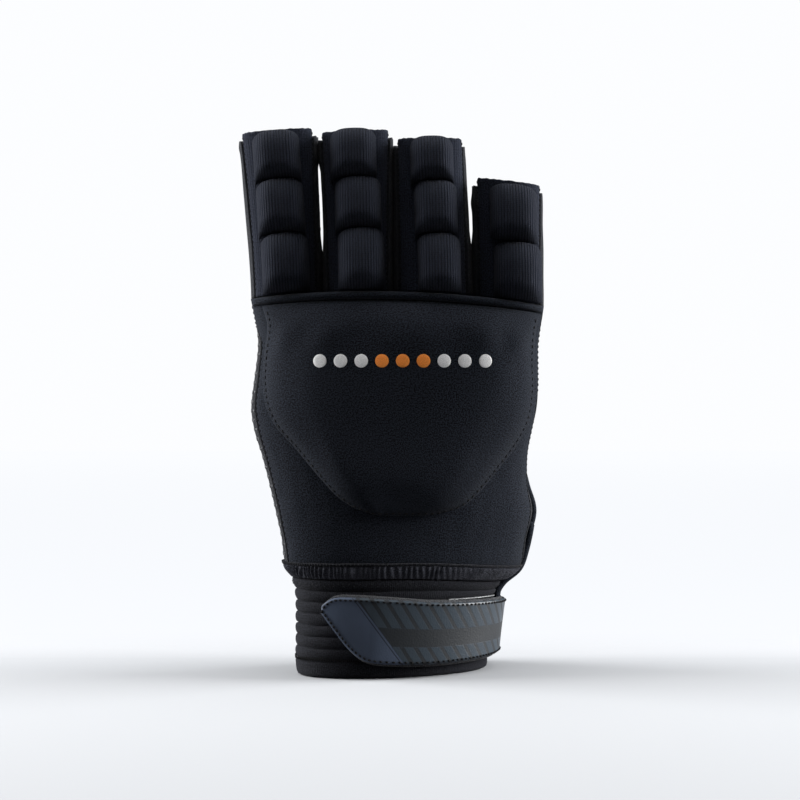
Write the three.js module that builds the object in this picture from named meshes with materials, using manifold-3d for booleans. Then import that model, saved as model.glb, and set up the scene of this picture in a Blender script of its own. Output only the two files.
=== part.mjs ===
// A field hockey glove for the left hand, standing on its wrist band with the fingers up.
// Millimetres, +Z up. The back of the hand faces -Y, the palm +Y and the thumb side +X.
// The origin is the middle of the glove's plan, on the surface that the band stands on.
// Every wall is a patch of one of two surfaces: the hand with its wrist, or a finger tube.

import * as THREE from "three";
import { mergeVertices } from "three/addons/utils/BufferGeometryUtils.js";
import Module from "manifold-3d";

const wasm = await Module();
wasm.setup();

// Hand and wrist
const HAND_WIDTH = 102.4; // knuckles, edge to edge
const HAND_DEPTH = 37; // knuckles, back of the hand to the palm
const PALM_LENGTH = 90.2; // wrist seam to the ends of the knuckle line
const KNUCKLE_ARCH = 2.2; // rise of the knuckle line at its peak
const KNUCKLE_PEAK = -8; // from the hand's middle
const WRIST_WIDTH = 68.5;
const WRIST_DEPTH = 44;
const THUMB_ANGLE = 15; // degrees from +X, middle of the swell over the thumb's root
const THUMB_SPREAD = 36; // degrees each way
const GAP = 0.3; // between pieces that lie on each other

// Wrist band
const HEM_HEIGHT = 5.9;
const HEM_ROUND = 1; // that its outer face draws in at the floor
const RIB_COUNT = 7;
const RIB_PITCH = 3.95;
const RIB_RELIEF = 0.7;
const BAND_WALL = 2.2;
const SEAM_HEIGHT = 4.65;
const SEAM_WALL = 2.8;
const GATHER_COUNT = 45;
const GATHER_RELIEF = 0.5;

// Hand panels
const NEOPRENE = 2.6;
const PALM_CLOTH = 1.6;
const GUARD_EDGE = 1.7;
const GUARD_CROWN = 5.4;
const GUARD_SEAT = 0.4; // between the guard and the back of the hand
const BINDING_HEIGHT = 2.6;
const BINDING_RELIEF = 1.8;
const BINDING_STOP = 10; // degrees that it stops short of the hand's sides
const THUMB_SEAM = -6; // degrees, between the back and the palm
const LITTLE_SEAM = 205;
const LITTLE_SEAM_TOP = 180; // at the knuckles
const SEAM_SLIT = 0.4; // degrees, each way

// Thumb hole, on the hand's surface
const HOLE_ANGLE = 44; // degrees from +X towards the palm, at its middle
const HOLE_WIDTH = 30;
const HOLE_RISE = 27; // each way
const HOLE_FOOT = 3.3; // of its lowest point above the wrist seam
const HOLE_LEAN = 0.4; // towards the palm for each millimetre up
const PIPING = 1.5; // radius of the piping round the hole
const PIPING_TAIL = 1.1; // radius of its tail over the wrist seam
const TAIL_TURN = 225; // degrees round the hole, where the tail leaves

// Fingers and their pads
const FINGER_LENGTH = 58.5; // knuckle line to rim
const FINGER_DEPTH = 23; // at the rim
const FINGER_POWER = 2.7; // squares a finger's section
const FINGER_CURL = 3; // of the rim, towards the palm
const FINGER_TAPER = 1.7; // how soon its depth narrows past the knuckles
const FINGER_LEAN = 1.3; // how late its sides lean towards the little finger's side
const FINGER_CLOTH = 1.8;
const SEAM_ANGLE = 36; // degrees that a finger's back stops short of its sides
const RIM_DROP = 3; // of the palm side's rim under the back's
const PAD_WIDTH = 16.4;
const PAD_CROWN = 6.6;
const PAD_EDGE = 1.4;
const PAD_SEAT = 0.6; // between a pad's flat underside and the round finger

// Strap
const STRAP_FACE = 1;
const STRAP_BACKING = 1.3;
const STRAP_MARGIN = 0.8; // of the backing round the face
const STRAP_TIP = -133; // degrees
const STRAP_END = 116;
const PATCH_THICK = 0.9;
const PATCH_FROM = -92; // degrees
const PATCH_TO = -18;
const PATCH_HEIGHT = 18.4;
const PATCH_MIDDLE = 0.51; // as a share of the band's height

const RAD = Math.PI / 180;
const BAND_HEIGHT = HEM_HEIGHT + RIB_COUNT * RIB_PITCH;
const PALM_FOOT = BAND_HEIGHT + SEAM_HEIGHT;
const KNUCKLES = PALM_FOOT + PALM_LENGTH;
const GUARD_LENGTH = PALM_LENGTH - BINDING_HEIGHT - 2 * GAP;
const HOLE_HEIGHT = PALM_FOOT + HOLE_FOOT + HOLE_RISE;
const FINGER_WIDTH = 0.254 * HAND_WIDTH;

// Plan sections, with up as a share of the wrist's or the hand's height. left and right are
// shares of its width, and dorsal, palmar and thumb, how far the thumb's side swells, are
// shares of its depth. skew turns the plan towards the front left; power squares its corners.
const WRIST_TABLE = [
  { up: 0.0, left: -0.464, right: 0.487, dorsal: 0.5, palmar: 0.5, thumb: 0, skew: 0.28, power: 2.1 },
  { up: 0.16, left: -0.471, right: 0.487, dorsal: 0.5, palmar: 0.5, thumb: 0, skew: 0.28, power: 2.1 },
  { up: 0.5, left: -0.471, right: 0.505, dorsal: 0.5, palmar: 0.5, thumb: 0, skew: 0.28, power: 2.1 },
  { up: 0.85, left: -0.475, right: 0.532, dorsal: 0.5, palmar: 0.5, thumb: 0, skew: 0.27, power: 2.1 },
  { up: 1.0, left: -0.495, right: 0.565, dorsal: 0.51, palmar: 0.51, thumb: 0, skew: 0.26, power: 2.1 },
];
const HAND_TABLE = [
  { up: 0.0, left: -0.357, right: 0.443, dorsal: 0.62, palmar: 0.62, thumb: 0, skew: 0.24, power: 2.15 },
  { up: 0.1, left: -0.371, right: 0.462, dorsal: 0.62, palmar: 0.64, thumb: 0.02, skew: 0.21, power: 2.2 },
  { up: 0.19, left: -0.389, right: 0.476, dorsal: 0.61, palmar: 0.645, thumb: 0.05, skew: 0.18, power: 2.25 },
  { up: 0.29, left: -0.411, right: 0.468, dorsal: 0.6, palmar: 0.64, thumb: 0.01, skew: 0.14, power: 2.3 },
  { up: 0.4, left: -0.4375, right: 0.468, dorsal: 0.59, palmar: 0.62, thumb: 0, skew: 0.1, power: 2.3 },
  { up: 0.505, left: -0.464, right: 0.482, dorsal: 0.575, palmar: 0.59, thumb: 0, skew: 0.06, power: 2.35 },
  { up: 0.59, left: -0.4755, right: 0.496, dorsal: 0.565, palmar: 0.57, thumb: 0, skew: 0.04, power: 2.4 },
  { up: 0.69, left: -0.468, right: 0.503, dorsal: 0.55, palmar: 0.545, thumb: 0, skew: 0.02, power: 2.45 },
  { up: 0.835, left: -0.456, right: 0.502, dorsal: 0.53, palmar: 0.515, thumb: 0, skew: 0, power: 2.55 },
  { up: 0.917, left: -0.464, right: 0.511, dorsal: 0.515, palmar: 0.5, thumb: 0, skew: 0, power: 2.6 },
  { up: 1.0, left: -0.479, right: 0.521, dorsal: 0.5, palmar: 0.49, thumb: 0, skew: 0, power: 2.65 },
];
const sized = (table, foot, tall, width, depth) =>
  table.map((row) => ({
    at: foot + row.up * tall,
    left: row.left * width,
    right: row.right * width,
    dorsal: row.dorsal * depth,
    palmar: row.palmar * depth,
    thumb: row.thumb * depth,
    skew: row.skew,
    power: row.power,
  }));
const SECTIONS = [
  ...sized(WRIST_TABLE, 0, BAND_HEIGHT, WRIST_WIDTH, WRIST_DEPTH),
  ...sized(HAND_TABLE, PALM_FOOT, PALM_LENGTH, HAND_WIDTH, HAND_DEPTH),
];

// Outline of the guard on the back of the hand: shares of GUARD_LENGTH up from the wrist
// seam, and of HAND_WIDTH from the glove's middle.
const GUARD = [
  { at: 0.187, left: -0.035, right: 0.1 },
  { at: 0.199, left: -0.07, right: 0.17 },
  { at: 0.219, left: -0.12, right: 0.23 },
  { at: 0.262, left: -0.176, right: 0.28 },
  { at: 0.32, left: -0.225, right: 0.325 },
  { at: 0.385, left: -0.273, right: 0.37 },
  { at: 0.453, left: -0.322, right: 0.415 },
  { at: 0.523, left: -0.378, right: 0.452 },
  { at: 0.593, left: -0.412, right: 0.474 },
  { at: 0.684, left: -0.428, right: 0.484 },
  { at: 0.812, left: -0.425, right: 0.482 },
  { at: 0.92, left: -0.413, right: 0.486 },
  { at: 1.0, left: -0.43, right: 0.5 },
];

// The strap's lower and upper edge, as shares of BAND_HEIGHT, from its tip (at 0) round
// the thumb side to its sewn end (at 1). stand is how far it stands off the band, where 1
// just clears the hook patch.
const STRAP = [
  { at: 0.0, low: 0.662, high: 0.711, stand: 0.0 },
  { at: 0.012, low: 0.613, high: 0.782, stand: 0.0 },
  { at: 0.04, low: 0.52, high: 0.835, stand: 0.0 },
  { at: 0.075, low: 0.364, high: 0.831, stand: 0.1 },
  { at: 0.11, low: 0.191, high: 0.813, stand: 0.4 },
  { at: 0.135, low: 0.142, high: 0.799, stand: 0.9 },
  { at: 0.175, low: 0.124, high: 0.768, stand: 1.0 },
  { at: 0.24, low: 0.108, high: 0.724, stand: 1.0 },
  { at: 0.31, low: 0.111, high: 0.711, stand: 1.0 },
  { at: 0.42, low: 0.124, high: 0.715, stand: 1.1 },
  { at: 0.54, low: 0.142, high: 0.733, stand: 1.2 },
  { at: 0.7, low: 0.133, high: 0.733, stand: 0.6 },
  { at: 1.0, low: 0.133, high: 0.733, stand: 0.0 },
];

// The tail of the thumb hole's piping, from the hole down over the wrist seam, in millimetres
// and degrees from +X. clear is how far its middle stands off the hand.
const TAIL_CLEAR = 2 * GATHER_RELIEF + GAP + PIPING_TAIL;
const TAIL = [
  { height: PALM_FOOT + SEAM_HEIGHT, angle: 5, clear: TAIL_CLEAR },
  { height: PALM_FOOT, angle: 2, clear: TAIL_CLEAR },
  { height: BAND_HEIGHT - GAP, angle: 0, clear: 2 * TAIL_CLEAR },
  { height: BAND_HEIGHT - SEAM_HEIGHT, angle: 0, clear: TAIL_CLEAR + RIB_RELIEF },
];

// The four fingers, little finger first. Edges at the knuckles and at the rim are shares
// of FINGER_WIDTH from the glove's middle, rims are shares of FINGER_LENGTH, and depth is
// a share of HAND_DEPTH at the knuckles. Each pad runs from and to a share of the finger,
// off its middle by shift and as wide as wide says, in shares of PAD_WIDTH.
const THREE_PADS = [
  { from: 0.733, to: 0.985 },
  { from: 0.413, to: 0.708 },
  { from: 0.03, to: 0.385 },
];
const TWO_PADS = [
  { from: 0.495, to: 0.93 },
  { from: 0.02, to: 0.47 },
];
const FINGERS = [
  {
    name: "little", left: -1.88, right: -0.915, tipLeft: -2.055, tipRight: -1.0,
    rimLeft: 1.0, rimRight: 1.035, depth: 0.76, shift: 0.03, wide: 1.0, pads: THREE_PADS,
  },
  {
    name: "ring", left: -0.902, right: 0.022, tipLeft: -0.985, tipRight: 0.018,
    rimLeft: 1.005, rimRight: 1.024, depth: 0.96, shift: 0.07, wide: 0.97, pads: THREE_PADS,
  },
  {
    name: "middle", left: 0.036, right: 1.085, tipLeft: 0.032, tipRight: 1.0,
    rimLeft: 0.97, rimRight: 0.97, depth: 0.96, shift: 0.06, wide: 0.91, pads: THREE_PADS,
  },
  {
    name: "index", left: 1.1, right: 2.05, tipLeft: 1.095, tipRight: 2.045,
    rimLeft: 0.72, rimRight: 0.685, depth: 0.74, shift: 0.09, wide: 1.0, pads: TWO_PADS,
  },
];

// A row of a table at any place along it, on a smooth curve through its rows.
function rowAt(table, place) {
  const last = table.length - 1;
  const p = Math.min(Math.max(place, table[0].at), table[last].at);
  let i = 0;
  while (i < last - 1 && table[i + 1].at < p) i++;
  const [a, b] = [table[i], table[i + 1]];
  const [before, after] = [table[Math.max(i - 1, 0)], table[Math.min(i + 2, last)]];
  const span = b.at - a.at;
  const s = (p - a.at) / span;
  const row = {};
  for (const key of Object.keys(a)) {
    const startSlope = ((b[key] - before[key]) / (b.at - before.at)) * span;
    const endSlope = ((after[key] - a[key]) / (after.at - a.at)) * span;
    row[key] =
      a[key] * (2 * s ** 3 - 3 * s ** 2 + 1) +
      startSlope * (s ** 3 - 2 * s ** 2 + s) +
      b[key] * (3 * s ** 2 - 2 * s ** 3) +
      endSlope * (s ** 3 - s ** 2);
  }
  return row;
}

const signedPower = (value, power) => Math.sign(value) * Math.abs(value) ** power;
const blend = (a, b, share) => a + (b - a) * share;
const archAt = (x) => KNUCKLE_ARCH * (1 - ((x - KNUCKLE_PEAK) / (HAND_WIDTH / 2)) ** 2);

// How much of the swell over the thumb's root an angle has, from 0 to 1.
function thumbShare(angle) {
  const turned = THREE.MathUtils.euclideanModulo(angle - THUMB_ANGLE + 180, 360) - 180;
  const away = Math.min(Math.abs(turned) / THUMB_SPREAD, 1);
  return Math.cos((away * Math.PI) / 2) ** 2;
}

// A point of a plan section, clear of it by some millimetres. Angles are in degrees from +X.
function planPoint(section, angle, clear) {
  const middle = (section.left + section.right) / 2;
  const out = clear + section.thumb * thumbShare(angle);
  const c = signedPower(Math.cos(angle * RAD), 2 / section.power);
  const s = signedPower(Math.sin(angle * RAD), 2 / section.power);
  const x = middle + ((section.right - section.left) / 2 + out) * c;
  const y = ((s < 0 ? section.dorsal : section.palmar) + out) * s + section.skew * (x - middle);
  return [x, y];
}

// The angle on the back of a section whose point lies at x.
function dorsalAngle(section, x) {
  const half = (section.right - section.left) / 2;
  const share = THREE.MathUtils.clamp((x - section.left - half) / half, -1, 1);
  return 360 - Math.acos(signedPower(share, section.power / 2)) / RAD;
}

// The hand's and wrist's surface, at a height of the straight glove.
function handPoint(height, angle, out) {
  const [x, y] = planPoint(rowAt(SECTIONS, height), angle, out);
  const share = THREE.MathUtils.clamp((height - PALM_FOOT) / PALM_LENGTH, 0, 1);
  return new THREE.Vector3(x, y, height + archAt(x) * share);
}

function fingerSection(finger, t) {
  const rimHalf = FINGER_DEPTH / 2;
  const knuckleHalf = (finger.depth * HAND_DEPTH) / 2;
  const half = blend(rimHalf, knuckleHalf, (1 - t) ** FINGER_TAPER);
  return {
    left: FINGER_WIDTH * blend(finger.left, finger.tipLeft, t ** FINGER_LEAN),
    right: FINGER_WIDTH * blend(finger.right, finger.tipRight, t ** FINGER_LEAN),
    dorsal: half,
    palmar: half,
    thumb: 0,
    skew: 0,
    power: FINGER_POWER,
    curl: FINGER_CURL * t ** 2,
  };
}

// A finger's surface, t from 0 at the knuckles to 1 at the rim, which stands drop lower.
function fingerPoint(finger, t, angle, out, drop = 0) {
  const section = fingerSection(finger, t);
  const [x, y] = planPoint(section, angle, out);
  const across = (x - section.left) / (section.right - section.left);
  const rim = FINGER_LENGTH * blend(finger.rimLeft, finger.rimRight, across) - drop;
  const foot = archAt(x) + GAP / 2;
  return new THREE.Vector3(x, y + section.curl, KNUCKLES + blend(foot, rim, t));
}

// A closed wall on a patch of a surface. point(v, w, side) gives its outer (side 1) and
// inner (side 0) face, v rising and w turning with the angle; a ring closes on itself.
function wall(point, rows, columns, ring = false, spread = (share) => share) {
  const across = ring ? columns : columns + 1;
  const positions = [];
  const index = [];
  for (const side of [1, 0]) {
    for (let i = 0; i <= rows; i++) {
      for (let j = 0; j < across; j++) {
        positions.push(...point(spread(i / rows), spread(j / columns), side).toArray());
      }
    }
  }
  const at = (side, i, j) => ((1 - side) * (rows + 1) + i) * across + (ring ? j % columns : j);
  const quad = (a, b, c, d) => index.push(a, b, c, a, c, d);
  for (let j = 0; j < columns; j++) {
    for (let i = 0; i < rows; i++) {
      quad(at(1, i, j), at(1, i, j + 1), at(1, i + 1, j + 1), at(1, i + 1, j));
      quad(at(0, i, j), at(0, i + 1, j), at(0, i + 1, j + 1), at(0, i, j + 1));
    }
    quad(at(0, 0, j), at(0, 0, j + 1), at(1, 0, j + 1), at(1, 0, j));
    quad(at(1, rows, j), at(1, rows, j + 1), at(0, rows, j + 1), at(0, rows, j));
  }
  for (let i = 0; i < rows && !ring; i++) {
    quad(at(0, i, 0), at(1, i, 0), at(1, i + 1, 0), at(0, i + 1, 0));
    quad(at(1, i, columns), at(0, i, columns), at(0, i + 1, columns), at(1, i + 1, columns));
  }
  return new THREE.BufferGeometry()
    .setAttribute("position", new THREE.Float32BufferAttribute(positions, 3))
    .setIndex(index);
}

// Shares that crowd towards both ends, for a patch with a rounded border.
const crowded = (share) => (1 - Math.cos(Math.PI * share)) / 2;

// How high a soft pad has risen at a place, from 0 on its border to 1 further in than the
// widths of its foot, its top and its sides.
function rise(v, w, { foot, top, sides }) {
  const soft = (share) => Math.sqrt(1 - (1 - Math.min(share, 1)) ** 2);
  return soft(v / foot) * soft((1 - v) / top) * soft(Math.min(w, 1 - w) / sides);
}

function solidOf(geometry) {
  const bare = new THREE.BufferGeometry().setAttribute("position", geometry.getAttribute("position"));
  const merged = mergeVertices(geometry.index ? bare.setIndex(geometry.index) : bare, 1e-4);
  return new wasm.Manifold(
    new wasm.Mesh({
      numProp: 3,
      vertProperties: merged.attributes.position.array,
      triVerts: new Uint32Array(merged.index.array),
    }),
  );
}

function geometryOf(solid) {
  const mesh = solid.getMesh();
  return new THREE.BufferGeometry()
    .setAttribute("position", new THREE.Float32BufferAttribute(mesh.vertProperties, 3))
    .setIndex([...mesh.triVerts]);
}

// A round bar along a curve through points on the surface.
function bar(points, radius, steps, curveSegments) {
  const circle = new THREE.Shape().absarc(0, 0, radius, 0, 2 * Math.PI);
  const extrudePath = new THREE.CatmullRomCurve3(points);
  return new THREE.ExtrudeGeometry(circle, { extrudePath, steps, curveSegments });
}

// Band

function hem() {
  return wall(
    (v, w, side) => {
      const draw = HEM_ROUND * (1 - v) ** 3;
      return handPoint(v * (HEM_HEIGHT - GAP / 2), 360 * w, side ? RIB_RELIEF - draw : -BAND_WALL);
    },
    4,
    36,
    true,
  );
}

function ribbedBand() {
  const stepsPerRib = 2;
  const steps = RIB_COUNT * stepsPerRib;
  return wall(
    (v, w, side) => {
      const height = blend(HEM_HEIGHT + GAP / 2, BAND_HEIGHT - GAP / 2, v);
      const phase = (v * steps) % stepsPerRib;
      const relief = phase < 0.5 || phase > stepsPerRib - 0.5 ? 0 : RIB_RELIEF;
      return handPoint(height, 360 * w, side ? relief : -BAND_WALL);
    },
    steps,
    36,
    true,
  );
}

// The overlocked seam that gathers the hand's panels onto the band.
function wristSeam() {
  return wall(
    (v, w, side) => {
      const height = blend(BAND_HEIGHT + GAP / 2, PALM_FOOT - GAP / 2, v);
      const gather = (GATHER_RELIEF * (1 + Math.cos(2 * Math.PI * GATHER_COUNT * w))) / 2;
      const belly = Math.sin(Math.PI * v);
      return handPoint(height, 360 * w, side ? GATHER_RELIEF + gather * belly : GATHER_RELIEF - SEAM_WALL);
    },
    2,
    GATHER_COUNT * 2,
    true,
  );
}

// Hand

// The seam under the little finger. The palm cloth comes round it to the back of the hand,
// except just under the knuckles.
function littleSeam(height) {
  const underKnuckles = (KNUCKLES - height) / PALM_LENGTH;
  return blend(LITTLE_SEAM_TOP, LITTLE_SEAM, THREE.MathUtils.smoothstep(underKnuckles, 0.08, 0.18));
}

function panel(from, to, thickness, columns) {
  return wall(
    (v, w, side) => {
      const height = blend(PALM_FOOT + GAP / 2, KNUCKLES - GAP / 2, v);
      return handPoint(height, blend(from(height), to(height), w), side ? 0 : -thickness);
    },
    12,
    columns,
  );
}

function backPanel() {
  return panel(
    (height) => littleSeam(height) + SEAM_SLIT,
    () => 360 + THUMB_SEAM - SEAM_SLIT,
    NEOPRENE,
    18,
  );
}

// The angle that lies some millimetres round the hand from another, at a height.
function angleAlong(height, angle, millimetres) {
  const steps = 8;
  let turned = angle;
  for (let i = 0; i < steps; i++) {
    const perDegree = handPoint(height, turned + 0.5, 0).distanceTo(handPoint(height, turned - 0.5, 0));
    turned += millimetres / steps / perDegree;
  }
  return turned;
}

// The thumb hole's border as a point of the surface, grow millimetres outside the hole.
function holePoint(turn, out, grow = 0) {
  const lift = (HOLE_RISE + grow) * Math.sin(turn);
  const across = (HOLE_WIDTH / 2 + grow) * Math.cos(turn) + HOLE_LEAN * lift;
  const height = HOLE_HEIGHT + lift;
  return handPoint(height, angleAlong(height, HOLE_ANGLE, across), out);
}

function thumbHole() {
  const around = 36;
  const reach = 5 * PALM_CLOTH;
  const positions = [];
  const index = [];
  for (const out of [reach, -reach]) {
    for (let i = 0; i < around; i++) {
      positions.push(...holePoint((2 * Math.PI * i) / around, out).toArray());
    }
  }
  for (const out of [reach, -reach]) {
    positions.push(...handPoint(HOLE_HEIGHT, HOLE_ANGLE, out).toArray());
  }
  const [outerMiddle, innerMiddle] = [2 * around, 2 * around + 1];
  for (let i = 0; i < around; i++) {
    const next = (i + 1) % around;
    index.push(i, next, outerMiddle, around + next, around + i, innerMiddle);
    index.push(i, around + i, around + next, i, around + next, next);
  }
  const cut = new THREE.BufferGeometry()
    .setAttribute("position", new THREE.Float32BufferAttribute(positions, 3))
    .setIndex(index);
  return solidOf(cut);
}

function palmPanel() {
  const whole = panel(
    () => THUMB_SEAM + SEAM_SLIT,
    (height) => littleSeam(height) - SEAM_SLIT,
    PALM_CLOTH,
    20,
  );
  return geometryOf(solidOf(whole).subtract(thumbHole()).subtract(pipingSolid(GAP)));
}

// Piping round the thumb hole, with a tail down the thumb seam, grow millimetres fatter.
function pipingSolid(grow) {
  const sides = 8;
  const ring = wall(
    (v, w, side) => {
      const radius = PIPING + grow;
      const round = ((v - 0.5) * Math.PI * (sides - 2)) / sides;
      const out = radius * Math.cos(round) * (side ? 1 : -1);
      return holePoint(2 * Math.PI * w, out, -(PIPING + GAP) - radius * Math.sin(round));
    },
    sides / 2 - 1,
    36,
    true,
  );
  const tail = [
    holePoint(TAIL_TURN * RAD, PIPING - PIPING_TAIL, -(PIPING + GAP)),
    ...TAIL.map((row) => handPoint(row.height, row.angle, row.clear)),
  ];
  return solidOf(ring).add(solidOf(bar(tail, PIPING_TAIL + grow, 7, 3)));
}

const thumbPiping = () => geometryOf(pipingSolid(0));

function guard() {
  return wall(
    (v, w, side) => {
      const low = GUARD[0].at;
      const high = GUARD[GUARD.length - 1].at;
      const at = blend(low, high, v);
      const edge = rowAt(GUARD, at);
      const height = PALM_FOOT + at * GUARD_LENGTH;
      const section = rowAt(SECTIONS, height);
      const from = dorsalAngle(section, edge.left * HAND_WIDTH);
      const to = dorsalAngle(section, edge.right * HAND_WIDTH);
      const thick = blend(GUARD_EDGE, GUARD_CROWN, rise(v, w, { foot: 0.1, top: 0.18, sides: 0.12 }));
      const seat = handPoint(height, blend(from, to, w), GUARD_SEAT);
      return side ? seat.setY(seat.y - thick) : seat;
    },
    12,
    12,
    false,
    crowded,
  );
}

// The rolled seam where the finger cloth meets the back of the hand.
function knuckleBinding() {
  return wall(
    (v, w, side) => {
      const height = KNUCKLES - GAP / 2 - BINDING_HEIGHT * (1 - v);
      const bulge = blend(0.45, 1, Math.sin(Math.PI * v)) * BINDING_RELIEF;
      const seat = handPoint(height, blend(180 + BINDING_STOP, 360 - BINDING_STOP, w), GUARD_SEAT);
      return side ? seat.setY(seat.y - bulge) : seat;
    },
    2,
    22,
  );
}

// Fingers

const fingerBack = (finger) =>
  wall(
    (v, w, side) => {
      const angle = blend(180 + SEAM_ANGLE, 360 - SEAM_ANGLE, w);
      return fingerPoint(finger, v, angle, side ? 0 : -FINGER_CLOTH);
    },
    4,
    6,
  );

function fingerPalm(finger) {
  const slit = 1; // degrees
  return wall(
    (v, w, side) => {
      const angle = blend(slit - SEAM_ANGLE, 180 + SEAM_ANGLE - slit, w);
      return fingerPoint(finger, v, angle, side ? 0 : -FINGER_CLOTH, RIM_DROP);
    },
    4,
    12,
  );
}

function fingerPad(finger, pad) {
  const half = (finger.wide * PAD_WIDTH) / 2;
  return wall(
    (v, w, side) => {
      const t = blend(pad.from, pad.to, v);
      const section = fingerSection(finger, t);
      const middle = (section.left + section.right) / 2 + finger.shift * PAD_WIDTH;
      const from = dorsalAngle(section, middle - half);
      const to = dorsalAngle(section, middle + half);
      const thick = blend(PAD_EDGE, PAD_CROWN, rise(v, w, { foot: 0.32, top: 0.32, sides: 0.32 }));
      const seat = fingerPoint(finger, t, blend(from, to, w), PAD_SEAT);
      return side ? seat.setY(seat.y - thick) : seat;
    },
    5,
    4,
    false,
    crowded,
  );
}

// Strap

// A layer of the strap, thick millimetres, lift off the band, margin inside its outline.
function strapLayer(lift, thick, margin) {
  const columns = 26;
  const length = ((WRIST_WIDTH + WRIST_DEPTH) / 4) * (STRAP_END - STRAP_TIP) * RAD;
  const crowdTip = (w) => w ** 1.5;
  return wall(
    (v, w, side) => {
      const along = blend(margin / length, 1, crowdTip(w));
      const row = rowAt(STRAP, along);
      const low = row.low * BAND_HEIGHT + margin;
      const high = row.high * BAND_HEIGHT - margin;
      const height = blend(low, high, v);
      const stand = RIB_RELIEF + GAP + row.stand * (PATCH_THICK + GAP);
      return handPoint(height, blend(STRAP_TIP, STRAP_END, along), stand + lift + (side ? thick : 0));
    },
    3,
    columns,
  );
}

function hookPatch() {
  return wall(
    (v, w, side) => {
      const height = PATCH_MIDDLE * BAND_HEIGHT + PATCH_HEIGHT * (v - 0.5);
      const out = RIB_RELIEF + GAP + (side ? PATCH_THICK : 0);
      return handPoint(height, blend(PATCH_FROM, PATCH_TO, w), out);
    },
    1,
    9,
  );
}

const look = (color, roughness, metalness = 0) =>
  new THREE.MeshStandardMaterial({ color, roughness, metalness });
const neoprene = look(0x17181c, 0.85);
const padKnit = look(0x1b1c22, 0.9);
const gripCloth = look(0x141519, 0.8);
const elastic = look(0x18181b, 0.9);
const thread = look(0x26272b, 0.85);
const leatherette = look(0x2b3540, 0.45);
const felt = look(0x4a4a4c, 0.95);
const hookTape = look(0x101114, 0.5);

const glove = new THREE.Group();
function add(name, geometry, material) {
  geometry.computeVertexNormals();
  const mesh = new THREE.Mesh(geometry, material);
  mesh.name = name;
  glove.add(mesh);
}

add("band_hem", hem(), elastic);
add("wrist_band", ribbedBand(), elastic);
add("wrist_seam", wristSeam(), thread);
add("back_panel", backPanel(), neoprene);
add("palm_panel", palmPanel(), gripCloth);
add("thumb_piping", thumbPiping(), neoprene);
add("knuckle_guard", guard(), neoprene);
add("knuckle_binding", knuckleBinding(), neoprene);
for (const finger of FINGERS) {
  add(`${finger.name}_finger_back`, fingerBack(finger), padKnit);
  add(`${finger.name}_finger_palm`, fingerPalm(finger), gripCloth);
  finger.pads.forEach((pad, i) => add(`${finger.name}_pad_${i + 1}`, fingerPad(finger, pad), padKnit));
}
add("hook_patch", hookPatch(), hookTape);
add("strap_backing", strapLayer(0, STRAP_BACKING, 0), felt);
add("strap_face", strapLayer(STRAP_BACKING + GAP, STRAP_FACE, STRAP_MARGIN), leatherette);

// The origin goes to the middle of the plan.
const plan = new THREE.Box3().setFromObject(glove).getCenter(new THREE.Vector3());
glove.position.set(-plan.x, -plan.y, 0);

export default glove;
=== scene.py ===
"""A field hockey glove for the left hand, with half fingers, standing on its ribbed wrist band.

The tables are the part's own but for a few edges that are drawn nearer to the real cloth,
in millimetres and shares of its sizes. Every piece is a patch of one of two surfaces: the
hand with its wrist, or a finger tube. Meshes are made in metres, +Z up to the fingers, -Y out
of the back of the hand and +X to the thumb side.
"""

import math
from collections import namedtuple
from functools import lru_cache

import bmesh
import bpy
from bpy.props import FloatProperty, FloatVectorProperty, IntProperty, PointerProperty
from mathutils import Matrix, Vector, noise
from mathutils.bvhtree import BVHTree


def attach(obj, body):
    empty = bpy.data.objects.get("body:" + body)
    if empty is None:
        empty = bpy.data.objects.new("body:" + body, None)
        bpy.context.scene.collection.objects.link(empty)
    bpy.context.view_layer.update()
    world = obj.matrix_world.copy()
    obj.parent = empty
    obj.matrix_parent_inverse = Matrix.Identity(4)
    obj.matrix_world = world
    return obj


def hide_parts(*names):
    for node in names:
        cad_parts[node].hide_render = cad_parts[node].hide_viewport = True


bl_info = {
    "name": "Field hockey glove",
    "version": (1, 0, 0),
    "blender": (4, 5, 0),
    "location": "View3D > Sidebar > Glove",
    "description": "Builds a half-finger field hockey glove round its packed part",
    "category": "Object",
}

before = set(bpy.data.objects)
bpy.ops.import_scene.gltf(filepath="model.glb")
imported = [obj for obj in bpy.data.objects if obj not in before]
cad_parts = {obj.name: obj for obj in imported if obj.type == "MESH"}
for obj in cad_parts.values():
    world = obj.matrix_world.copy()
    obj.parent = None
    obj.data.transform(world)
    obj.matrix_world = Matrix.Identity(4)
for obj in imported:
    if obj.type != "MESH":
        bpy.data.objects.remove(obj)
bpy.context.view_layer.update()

MM = 0.001
SHIFT = Vector((0.06, 0.66, 0))  # moves the hand's middle onto the part's origin

# Hand and wrist
HAND_WIDTH = 102.4
HAND_DEPTH = 37
PALM_LENGTH = 90.2
KNUCKLE_ARCH = 3.2  # a millimetre fuller than the solids, which the roll and guard follow
KNUCKLE_PEAK = -8
WRIST_WIDTH = 68.5
WRIST_DEPTH = 44
THUMB_ANGLE = 15
THUMB_SPREAD = 36
GAP = 0.3
HEM_HEIGHT = 5.9
RIB_COUNT = 7
RIB_PITCH = 3.95
RIB_RELIEF = 0.7
BAND_WALL = 2.2
SEAM_HEIGHT = 4.65
SEAM_WALL = 2.8
GATHER_RELIEF = 0.5
NEOPRENE = 2.6
PALM_CLOTH = 1.6
GUARD_CROWN = 5.4
GUARD_SEAT = 0.4
BINDING_HEIGHT = 2.6
BINDING_RELIEF = 1.8
BINDING_STOP = 10
THUMB_SEAM = -6
LITTLE_SEAM = 197
LITTLE_SEAM_TOP = 180
SEAM_SLIT = 0.4
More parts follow.
